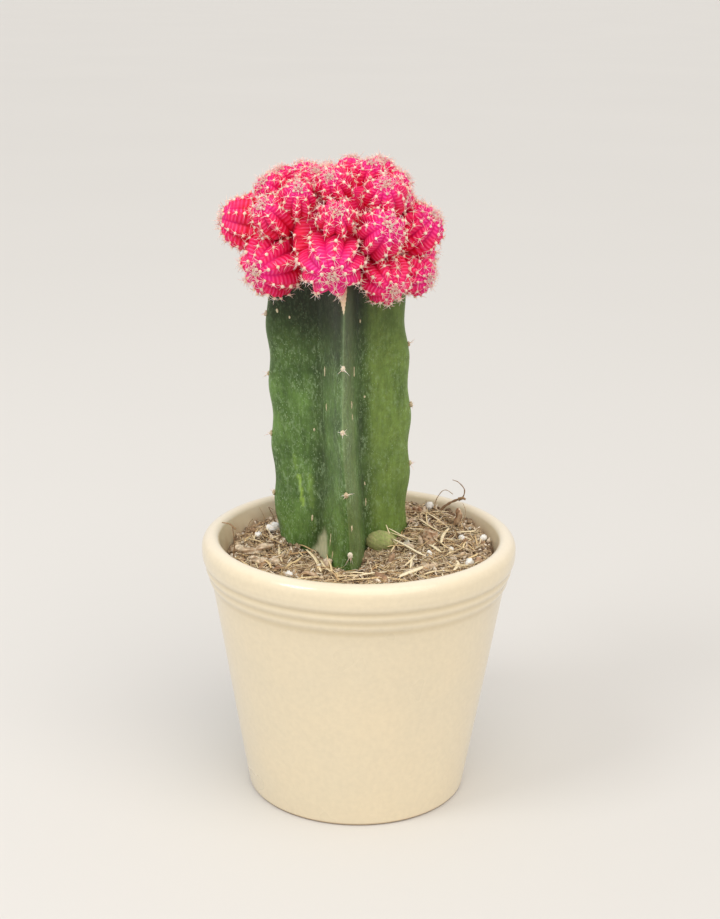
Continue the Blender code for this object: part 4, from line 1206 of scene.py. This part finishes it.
    def laid_straws(self) -> None:
        """The pale straws that catch the eye, each at its own place."""
        straws = (
            # two ends, width, tone, and how far the first end is raised
            ((-15.2, -0.1), (-10.5, -16.7), 0.5, 0.8), ((-20.0, -2.2), (-12.4, 0.4), 0.4, 0.1),
            ((-17.4, 4.8), (-13.2, -1.1), 0.3, 0.2), ((-3.5, -18.1), (9.0, -22.2), 0.42, 0.8),
            ((-6.3, -21.4), (4.0, -19.1), 0.45, 0.7), ((-1.5, -22.9), (7.9, -19.8), 0.4, 0.9),
            ((-4.6, -23.6), (6.4, -24.6), 0.36, 0.6), ((11.1, -23.2), (18.3, -16.0), 0.8, 0.95),
            ((8.6, 3.4), (16.6, 4.5), 0.42, 0.95, 4.6), ((9.0, 2.2), (17.5, 5.1), 0.3, 0.7, 3.8),
            ((9.6, 1.6), (19.1, -7.1), 0.48, 1.0, 2.4), ((9.2, -3.0), (12.3, 6.1), 0.3, 0.7),
            ((7.8, 4.4), (12.4, 0.6), 0.26, 0.8, 5.0), ((8.2, -1.2), (14.6, 2.8), 0.3, 0.5, 0.6),
            ((12.7, -13.1), (16.0, -5.2), 0.35, 0.85), ((14.4, -15.6), (15.2, -6.0), 0.32, 0.9),
            ((23.8, 2.0), (26.6, 13.4), 0.5, 0.85), ((26.5, -18.2), (27.7, -10.3), 0.55, 0.9),
            ((18.1, -21.4), (25.1, -18.1), 0.4, 0.7), ((20.3, 2.2), (23.5, -3.4), 0.5, 0.95),
            ((21.6, 6.8), (27.1, -1.2), 0.3, 0.7), ((24.8, -6.0), (30.0, -0.6), 0.3, 0.6),
            ((17.9, 19.7), (24.1, 10.8), 0.35, 0.75), ((20.1, 23.8), (26.6, 14.1), 0.3, 0.8),
            ((20.4, 15.9), (20.6, 26.7), 0.22, 0.6), ((28.5, 10.5), (35.3, 11.4), 0.5, 0.8),
            ((30.0, -0.6), (32.6, 4.7), 0.3, 0.6), ((-33.5, -6.8), (-26.6, -17.8), 0.35, 0.4),
            ((-23.3, 5.2), (-21.8, -7.8), 0.42, 0.8), ((-27.3, -5.7), (-24.6, -14.0), 0.35, 0.5),
            ((-10.7, -7.1), (-7.7, -16.2), 0.36, 0.8), ((-9.0, -8.6), (-7.4, -18.0), 0.3, 0.6),
            ((-6.4, -17.5), (-5.4, -22.3), 0.3, 0.5), ((-20.2, -11.2), (-16.4, -6.6), 0.35, 0.5),
            ((-33.0, 6.5), (-32.1, 12.0), 0.3, 0.5), ((30.6, -10.6), (33.9, -5.2), 0.4, 0.5),
            ((-17.0, -24.0), (-10.0, -20.0), 0.4, 0.6), ((-20.0, 26.0), (-10.0, 22.0), 0.35, 0.7),
            ((2.0, 26.0), (12.0, 22.0), 0.35, 0.9), ((-12.0, 30.0), (0.0, 33.0), 0.4, 0.8),
        )
        t = np.linspace(0.0, 1.0, 10)
        ends = np.array([(*a, *b) for a, b, *_ in straws])
        width, tone, raised = np.array([(*straw[2:], 0.0)[:3] for straw in straws]).T
        flat = ends[:, None, :2] * (1.0 - t)[:, None] + ends[:, None, 2:] * t[:, None]
        side = unit(np.stack([-(ends[:, 3] - ends[:, 1]), ends[:, 2] - ends[:, 0]], axis=-1))
        bow = np.sin(math.pi * t) * np.cos(np.arange(len(straws)) * 2.4)[:, None] * 0.7
        flat = flat + side[:, None] * bow[..., None]
        z = self.resting(self.height(flat[..., 0], flat[..., 1])) + 0.7 + 0.15 * np.sin(t * 5.0)
        z = z + raised[:, None] * (1.0 - t) ** 1.5
        paths = np.concatenate([flat, z[..., None]], axis=-1)
        radii = width[:, None] * (1.0 - 0.5 * np.abs(2.0 * t - 1.0) ** 4)
        thin = np.tile([0.05, 0.1, 1.0], (len(straws), 1))
        sculpt = Sculpt("tone", "along")
        sculpt.add_tubes(paths, radii, 8, tone, t, thin, 0.45)
        fit(sculpt.build("pale_straws", STRAW.make()), Slot.SOIL)

    def build(self) -> None:
        """Builds the bed, then what lies on it, from the finest crumbs to the largest pieces."""
        self.bed()
        draw = np.random.default_rng(41)
        places = self.scatter(draw, self.crumbs, 0.2)
        size = draw.uniform(0.2, 0.8, (self.crumbs, 1)) ** 1.2 * draw.uniform(0.35, 1.5, (self.crumbs, 3))
        places[:, 2] += 0.35 * value_noise(places, 1.3, 2) + draw.uniform(-0.3, 0.35, self.crumbs)
        patch = 0.3 * value_noise(places, 5.0, 7)
        tones = np.clip(draw.normal(0.48, 0.27, self.crumbs) + patch, 0.0, 1.0)
        self.grains("mix_crumbs", PEAT, places, size, dome(5, 2), tones, 0.75, 51)
        self.strands("mix_shreds", PEAT, self.shreds, (1.5, 4.5), (0.12, 0.38), 0.4, 0.4, 3, 66)
        self.strands("mix_fibres", STRAW, self.fibres, (2.0, 9.0), (0.04, 0.1), 0.9, 1.0, 6, 61)
        self.strands("mix_straws", STRAW, self.straws, (3.0, 11.0), (0.09, 0.26), 0.3, 0.4, 5, 71)
        chips = self.scatter(draw, self.chips, 1.6)
        chips[:, 2] += 0.25
        size = draw.uniform(0.7, 1.8, (self.chips, 1)) * np.array([1.5, 0.9, 0.5])
        size = size * draw.uniform(0.7, 1.2, (self.chips, 3))
        tones = draw.uniform(0.1, 0.9, self.chips)
        self.grains("bark_chips", BARK, chips, size, dome(9, 6), tones, 0.55, 81)
        self.stick()
        spots = np.array(self.large_perlite)
        white = np.column_stack([spots, self.height(spots[:, 0], spots[:, 1]) + 0.6])
        more = self.scatter(draw, self.small_perlite, 0.8)
        size = np.concatenate([draw.uniform(1.0, 1.4, (len(white), 1)),
                               draw.uniform(0.25, 0.5, (len(more), 1))])
        size = size * draw.uniform(0.75, 1.15, (len(size), 3))
        self.grains("perlite", PERLITE, np.concatenate([white, more]), size, dome(14, 9),
                    draw.uniform(0.3, 1.0, len(size)), 0.4, 91)
        self.laid_straws()
        self.roots()

    def stick(self) -> None:
        """The bark stick and the tan chunks at the left, and a reddish chunk and a flake at the right.

        Each is a thick tube. Noise pushes its skin about, stretched along it as in split wood. Its
        knots give the height above the surface.
        """
        pieces = (
            # knots, thickest radius, tone, how far the grain is drawn out
            ([(-37.0, 2.0, 1.2), (-33.0, 1.8, 1.3), (-29.0, 2.1, 1.3), (-24.9, 2.7, 1.1)], 1.15, 0.8, 0.9),
            ([(-31.0, -5.4, 0.5), (-28.4, -5.6, 0.8), (-25.6, -5.8, 0.6)], 1.3, 0.95, 0.0),
            ([(-25.0, -7.6, 0.4), (-22.4, -9.6, 0.6)], 1.1, 0.75, 0.5),
            ([(18.4, 7.6, 0.6), (20.6, 6.6, 0.9), (23.0, 6.4, 0.6)], 1.8, 0.45, 0.0),
            ([(28.2, 15.0, 0.6), (29.6, 14.6, 3.2), (29.0, 15.0, 5.6)], 0.9, 0.45, 0.9),
            ([(15.2, 27.6, 0.6), (19.4, 27.6, 0.8)], 1.6, 0.3, 0.0),
            ([(2.6, -8.8, 0.3), (4.2, -9.6, 0.4)], 1.2, 0.55, 0.0),
            ([(-16.0, -17.4, 0.3), (-11.0, -19.6, 0.4)], 0.8, 0.3, 0.9),
        )
        sculpt = Sculpt("tone", "along")
        sides = 44
        for number, (knots, thick, tone, drawn) in enumerate(pieces):
            path = spline(np.array(knots), 14)
            path[:, 2] += self.height(path[:, 0], path[:, 1])
            t = np.linspace(0.0, 1.0, len(path))
            radii = thick * (1.0 - np.abs(2.0 * t - 1.0) ** 5 * 0.75)
            points, *faces = tubes(path[None], radii[None], sides)
            middle = np.append(np.repeat(path, sides, axis=0), path[[0, -1]], axis=0)
            grain = unit(path[-1] - path[0])
            squeezed = points - drawn * (points @ grain)[:, None] * grain
            rough = sum(share * value_noise(squeezed, cell, 100 + number)
                        for share, cell in ((0.12, 1.5), (0.3, 0.8), (0.3, 0.4)))
            points = points + (points - middle) * (1.0 - 0.6 * drawn) * rough[:, None]
            shade = tone + 0.7 * value_noise(squeezed, 0.5, 140 + number)
            sculpt.add(points, *faces, tone=np.clip(shade, 0.0, 1.0), along=0.0)
        fit(sculpt.build("bark_pieces", BARK.make(), smooth=False), Slot.SOIL)


# ---------------------------------------------------------------- scion

@dataclass(frozen=True)
class Globe:
    """A ribbed globe: its middle, crown direction, radii, ribs and turn, in millimetres and radians."""

    centre: Array
    crown: Array
    radii: tuple
    foot: float  # how much longer the half away from the crown is
    ribs: int
    turn: float
    spacing: float  # between the areoles of a rib
    tone: float
    bands: int = 2  # cross bands to each areole
    rib_depth: float = 0.24
    swelling: float = 0.45  # under an areole, on a globe of eight millimetres
    band_relief: float = 0.22

    @property
    def axes(self) -> Array:
        """The frame whose third column is the crown's direction."""
        return np.array(Vector(self.crown).to_track_quat("Z", "Y").to_matrix())

    def phase(self, rib: Array) -> Array:
        """Where a rib's first areole lies, as a share of the spacing: every other rib is staggered."""
        return 0.35 + 0.5 * (rib % 2) + 0.1 * np.sin(rib * 2.3 + self.turn)

    def skin_point(self, turn: Array, polar: Array) -> tuple[Array, Array, Array]:
        """The skin as a function of the turn round the crown and the angle from it.

        A rib is mostly a straight-sided ridge, which falls evenly from its crest to the fold, with a
        little of the size of cos(ribs * turn / 2), which is rounder. The radius across loses a quarter
        in a fold, and no two ribs are quite as high or as wide. A swelling stands under each areole:
        the square of half of 1 plus a cosine along the rib. Narrow bands cross the flanks, each a
        cusp: 1 less the size of a sine to the power 0.7.

        Args:
            turn: the angle round the crown, in radians.
            polar: the angle from the crown, in radians.
        Returns:
            Local points, how near the crest each is, and the band's height from 0 to 1.
        """
        round_wave = np.abs(np.cos(self.ribs * turn / 2.0))
        wave = 0.35 * round_wave + 0.65 * (1.0 - np.arccos(np.minimum(round_wave, 1.0)) * 2.0 / math.pi)
        rib = np.round(self.ribs * turn / math.tau) % self.ribs
        along = polar * self.radii[0] / self.spacing - self.phase(rib)
        swell = (0.5 + 0.5 * np.cos(math.tau * along)) ** 2
        band = 1.0 - np.abs(np.sin(math.pi * self.bands * along)) ** 0.7
        flank = smooth_step(0.08, 0.4, wave) * smooth_step(1.0, 0.88, wave)
        sine = np.sin(polar)
        depth = self.rib_depth * np.maximum(sine, 0.0) ** 0.6
        fade = smooth_step(0.08, 0.4, polar) * smooth_step(2.5, 2.0, polar)
        swollen = self.swelling * self.radii[0] / 8.0 * swell * wave**4
        relief = (swollen + self.band_relief * band * flank) * fade
        uneven = 0.035 * np.sin(rib * 2.1 + self.turn * 3.0) * wave * sine
        out = 1.0 - depth * (1.0 - wave) + relief / self.radii[0] + uneven
        dimple = 0.05 * np.exp(-((polar / 0.35) ** 2))
        upward = self.radii[1] * np.cos(polar) * (1.0 - dimple)
        upward = upward * (1.0 + relief / self.radii[0])
        upward = np.where(upward < 0.0, upward * self.foot, upward)
        across = self.radii[0] * sine * out
        spun = turn + self.turn + 0.1 * np.sin(2.0 * turn + self.turn * 5.0)
        return revolved(across, spun, upward), wave, band * flank * fade

    def place(self, local: Array) -> Array:
        """Local points, turned and moved to their place."""
        return local @ self.axes.T + self.centre

    def add_skin(self, sculpt: Sculpt) -> None:
        """Adds the closed skin, with six rings to a band, or fewer where they are many."""
        rings = int(np.clip(1.95 * self.radii[0] / self.spacing * self.bands * 6.0, 30, 110))
        near = np.linspace(0.05, 2.0, rings)
        polar = np.append(near, np.linspace(2.1, 2.9, 5))[:, None]
        turn = (math.tau * np.arange(self.ribs * 8) / (self.ribs * 8))[None]
        local, wave, band = self.skin_point(turn, polar)
        ends = (self.skin_point(np.zeros(1), np.array([end]))[0][0] for end in (0.0, math.pi))
        values = {"crest": (wave * np.ones_like(polar), 1.0, 1.0), "band": (band, 0.0, 0.0),
                  "polar": (polar / math.pi * np.ones_like(turn), 0.0, 1.0)}
        values = {name: np.append(part.ravel(), poles) for name, (part, *poles) in values.items()}
        sculpt.add(*closed_skin(self.place(local), *map(self.place, ends)), tone=self.tone, **values)

    def areoles(self) -> tuple[Array, Array, Array, Array]:
        """Each areole's place, outward normal, the way to the crown along the rib, and its angle."""
        rib = np.arange(self.ribs)[:, None]
        step = self.spacing / self.radii[0]
        polar = (np.arange(14)[None] + self.phase(rib)) * step
        turn = np.broadcast_to(math.tau * rib / self.ribs, polar.shape)
        keep = polar < 2.1
        turn, polar = turn[keep], polar[keep]
        here = self.skin_point(turn, polar)[0]
        ahead = self.skin_point(turn, polar - 0.06)[0]
        beside = self.skin_point(turn + 0.03, polar)[0] - self.skin_point(turn - 0.03, polar)[0]
        crownward = unit(ahead - here)
        normal = unit(np.cross(crownward, unit(beside)))
        normal = normal * np.sign(np.einsum("ij,ij->i", normal, here))[:, None]
        crownward = unit(crownward - normal * np.einsum("ij,ij->i", crownward, normal)[:, None])
        turned = self.axes.T
        return self.place(here), normal @ turned, crownward @ turned, polar

    def holds(self, points: Array) -> Array:
        """Whether each point lies under the skin, taken as a smooth globe nine tenths as large."""
        local = (points - self.centre) @ self.axes
        upward = np.where(local[:, 2] < 0.0, local[:, 2] / self.foot, local[:, 2]) / self.radii[1]
        across = np.hypot(local[:, 0], local[:, 1]) / self.radii[0]
        return np.hypot(across, upward) < 0.9


@dataclass
class Scion:
    """The grafted cactus: a ribbed body crowded with ribbed offsets, woolly areoles and spines."""

    centre: tuple = (-7.0, 4.0, 163.0)
    body_radii: tuple = (21.0, 14.6)
    body_ribs: int = 9
    body_turn: float = 0.35
    ceiling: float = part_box("scion")[1].z / MM
    spine_radius: float = 0.085
    spine_ways: tuple = (20.0, 65.0, 110.0, 155.0, 205.0, 250.0, 295.0, 340.0)  # degrees from crownward
    whorls: tuple = (
        # azimuth, out, rise, radius, crown's azimuth and elevation, as they sit on the plant
        ("low", (
            (-60, 19.6, -7.6, 8.9, -36, -9), (-3, 20.6, -5.4, 8.7, 0, -14), (41, 19.8, -10.2, 7.0, 22, -22),
            (74, 21.8, -10.6, 6.0, 52, -8), (112, 21.5, -8.2, 7.8, 104, -8), (150, 21.0, -7.6, 8.4, 150, -4),
            (187, 20.6, -8.2, 8.0, 190, -8), (221, 21.4, -8.0, 8.2, 224, -6),
            (258, 20.6, -9.4, 6.4, 254, -12))),
        ("middle", (
            (-86, 25.2, 2.2, 7.2, -85, 12), (-48, 23.2, 6.4, 5.4, -36, 38), (0, 21.8, 6.7, 5.3, 2, 28),
            (32, 22.4, 2.6, 6.6, 23, 30), (76, 22.8, 1.7, 6.8, 58, 38), (104, 21.8, 1.8, 6.0, 100, 20),
            (132, 23.4, 2.4, 6.7, 134, 14), (162, 24.2, 3.6, 6.2, 160, 18), (193, 23.8, 3.2, 6.7, 196, 14),
            (224, 24.0, 3.8, 6.2, 226, 20), (251, 24.2, 3.6, 5.6, 246, 22))),
        ("upper", (
            (-74, 18.8, 11.8, 4.3, -40, 34), (-32, 19.3, 10.8, 5.0, 4, 46), (-3, 15.0, 14.4, 5.1, -14, 34),
            (43, 18.8, 11.4, 5.9, 0, 42), (67, 17.8, 9.8, 4.2, 30, 22), (96, 15.6, 12.0, 4.6, 88, 38),
            (128, 17.4, 11.0, 5.6, 130, 36), (165, 18.8, 11.4, 5.2, 162, 40),
            (201, 19.0, 10.4, 5.6, 204, 36), (237, 18.6, 10.6, 5.1, 238, 40))),
        ("top", (
            (-118, 16.4, 12.6, 4.1, -60, 54), (-40, 9.0, 14.2, 4.9, 0, 50), (155, 8.0, 15.0, 4.4, 150, 74),
            (112, 12.0, 15.0, 5.0, 20, 60), (60, 9.6, 15.8, 4.5, 20, 62), (192, 13.4, 12.0, 4.8, 190, 62),
            (236, 11.0, 13.4, 4.7, 230, 66))),
    )

    def globes(self) -> list[tuple[str, list[Globe]]]:
        """The body and the offsets of each whorl, with their turns and tones drawn in order."""
        draw = np.random.default_rng(23)
        centre = np.asarray(self.centre)
        body = Globe(centre, np.array([0.0, 0.0, 1.0]), self.body_radii, foot=1.0, ribs=self.body_ribs,
                     turn=self.body_turn, spacing=5.2, tone=3.0, bands=4)
        groups = [("body", [body])]
        for name, offsets in self.whorls:
            made = []
            for azimuth, out, rise, radius, crown_azimuth, crown_rise in offsets:
                middle = centre + direction(azimuth, 0.0) * out + np.array([0.0, 0.0, rise])
                ribs = 8 if radius < 6.0 else 9
                crown = direction(crown_azimuth, crown_rise)
                made.append(Globe(
                    middle, crown, (radius, 0.95 * radius), foot=1.7, ribs=ribs,
                    turn=draw.uniform(0, math.tau), spacing=1.3 + 0.145 * radius, tone=draw.uniform(0, 1)))
            groups.append((name, made))
        return groups

    def spines(self, sculpt: Sculpt, pads: Sculpt, globe: Globe, others: list[Globe],
               draw: np.random.Generator) -> None:
        """Adds a globe's woolly pads and the spines that radiate from them, where they show.

        A spine starts on its areole and leans from the normal towards a direction round it, and it
        bends back along the skin: root + heading * t - normal * t^2 / 4.
        """
        place, normal, crownward, polar = globe.areoles()
        hidden = np.zeros(len(place), bool)
        for other in others:
            hidden |= other.holds(place)
        place, normal, crownward, polar = (part[~hidden] for part in (place, normal, crownward, polar))
        count = len(place)
        if not count:
            return
        young = smooth_step(0.8, 0.25, polar)
        size = (0.26 + 0.034 * min(globe.radii[0], 9.0) - 0.03 * young) * draw.uniform(0.8, 1.15, count)
        sizes = size[:, None] * [1.0, 1.0, 0.8]
        turned = frames_on(normal, draw.uniform(0, math.tau, count)) * sizes[:, None]
        ball = dome(6, 2)
        tones = np.repeat(draw.uniform(0.2, 1.0, count), len(ball[0]))
        pads.add(*stamp(ball, turned, place), tone=tones, along=0.0)
        around = np.radians(self.spine_ways)
        each = len(around)
        turn = around[None] + draw.normal(0.0, 0.22, (count, each))
        lean = np.radians(np.where(young[:, None] > 0.5, 36.0, 56.0) + draw.normal(0.0, 12.0, (count, each)))
        side = np.cross(normal, crownward)
        level = crownward[:, None] * np.cos(turn)[..., None] + side[:, None] * np.sin(turn)[..., None]
        heading = normal[:, None] * np.cos(lean)[..., None] + level * np.sin(lean)[..., None]
        length = (1.8 + 0.7 * young)[:, None] * draw.uniform(0.65, 1.3, (count, each))
        length = length * (0.75 + 0.035 * globe.radii[0])
        keep = draw.uniform(size=(count, each)) < np.where(young[:, None] > 0.5, 0.8, 0.66)
        t = np.array([0.0, 0.6, 1.0])
        bend = -0.25 * normal[:, None] + draw.normal(0.0, 0.1, (count, each, 3))
        curve = heading[:, :, None] * t[:, None] + bend[:, :, None] * (t * t)[:, None]
        paths = (place[:, None, None] + curve * length[..., None, None])[keep]
        top = self.ceiling - 0.1
        paths[..., 2] = np.where(paths[..., 2] > top, top - 0.02 * (paths[..., 2] - top), paths[..., 2])
        radii = np.broadcast_to(self.spine_radius * np.array([1.0, 0.75, 0.25]), paths.shape[:2])
        sculpt.add_tubes(paths, radii, 3, draw.uniform(0.0, 1.0, len(paths)), t)

    def build(self) -> None:
        """Builds each whorl's flesh and spines as a pair of pieces, and all the wool as one."""
        draw = np.random.default_rng(77)
        groups = self.globes()
        every = [globe for _, made in groups for globe in made]
        flesh, horn = ScionSkin().make(), SPINE.make()
        pads = Sculpt("tone", "along")
        for name, made in groups:
            skin, spines = Sculpt("crest", "band", "polar", "tone"), Sculpt("tone", "along")
            for globe in made:
                globe.add_skin(skin)
                self.spines(spines, pads, globe, [other for other in every if other is not globe], draw)
            fit(skin.build(f"scion_{name}", flesh), Slot.SCION, "scion")
            if spines.size:
                fit(spines.build(f"scion_{name}_spines", horn), Slot.SCION)
        fit(pads.build("scion_wool", WOOL.make()), Slot.SCION)


# ---------------------------------------------------------------- studio

@dataclass(frozen=True)
class Lamp:
    """A soft light: a square one with its place and size in metres and power in watts, or a wide sun."""

    name: str
    place: tuple
    size: float
    power: float
    colour: str
    target: tuple = (0.0, 0.0, 0.1)
    sun_angle: float = 0.0  # degrees across; above 0 the light is a sun, and its power is for each m2

    def hang(self) -> None:
        """Adds the light to the scene."""
        light = bpy.data.lights.new(self.name, "SUN" if self.sun_angle else "AREA")
        light.energy, light.color = self.power, linear(self.colour)[:3]
        if self.sun_angle:
            light.angle = math.radians(self.sun_angle)
        else:
            light.size = self.size
        made = bpy.data.objects.new(self.name, light)
        bpy.context.scene.collection.objects.link(made)
        made.location = self.place
        made.rotation_euler = (Vector(self.target) - Vector(self.place)).to_track_quat("-Z", "Y").to_euler()


@dataclass
class Studio:
    """Pale floor, soft light from above and the camera in front, a little above the rim."""

    eye: tuple = (0.0, -0.4485, 0.2341)  # metres
    pitch: float = 0.29333  # radians down
    roll: float = 0.01307
    lens: float = 64.7  # millimetres, on a 36 mm sensor
    floor_size: float = 30000.0
    sky: float = 0.8
    lamps: tuple = (
        Lamp("daylight", (0.3, -0.6, 1.0), 0.0, 1.42, "#fff6ea", sun_angle=60.0),
        Lamp("window", (-0.5, -0.35, 0.75), 0.3, 2.2, "#ffffff"),
    )

    def build(self) -> None:
        """Adds the floor, the lights, the even surround and the camera."""
        half = self.floor_size / 2.0
        sculpt = Sculpt()
        corners = np.array([(-half, -half, 0.0), (half, -half, 0.0), (half, half, 0.0), (-half, half, 0.0)])
        sculpt.add(corners, np.array([[0, 1, 2, 3]]))
        sculpt.build("studio_floor", StudioFloor().make())
        for lamp in self.lamps:
            lamp.hang()
        scene = bpy.context.scene
        scene.world = bpy.data.worlds.new("studio")
        scene.world.use_nodes = True
        surround = scene.world.node_tree.nodes["Background"]
        surround.inputs["Color"].default_value = linear("#fafafb")
        surround.inputs["Strength"].default_value = self.sky
        scene.view_settings.view_transform = "Standard"
        camera = bpy.data.cameras.new("camera")
        camera.lens, camera.sensor_width, camera.sensor_fit = self.lens, 36.0, "AUTO"
        holder = bpy.data.objects.new("camera", camera)
        scene.collection.objects.link(holder)
        ahead = Vector((0.0, math.cos(self.pitch), -math.sin(self.pitch)))
        right = Vector((1.0, 0.0, 0.0))
        upward = right.cross(ahead)
        rolled = right * math.cos(self.roll) + upward * math.sin(self.roll)
        rolled_up = upward * math.cos(self.roll) - right * math.sin(self.roll)
        placed = Matrix((rolled, rolled_up, -ahead)).transposed().to_4x4()
        placed.translation = Vector(self.eye)
        holder.matrix_world = placed
        scene.camera = holder


def main() -> None:
    """Builds the pot, the stem, the potting mix, the scion and the studio, in that order."""
    logging.basicConfig(level=logging.INFO, format="%(name)s: %(message)s")
    pot, stem = Pot(), Stem()
    pot.build()
    stem.build()
    PottingMix(pot, stem).build()
    Scion().build()
    Studio().build()


if __name__ == "__main__":
    main()
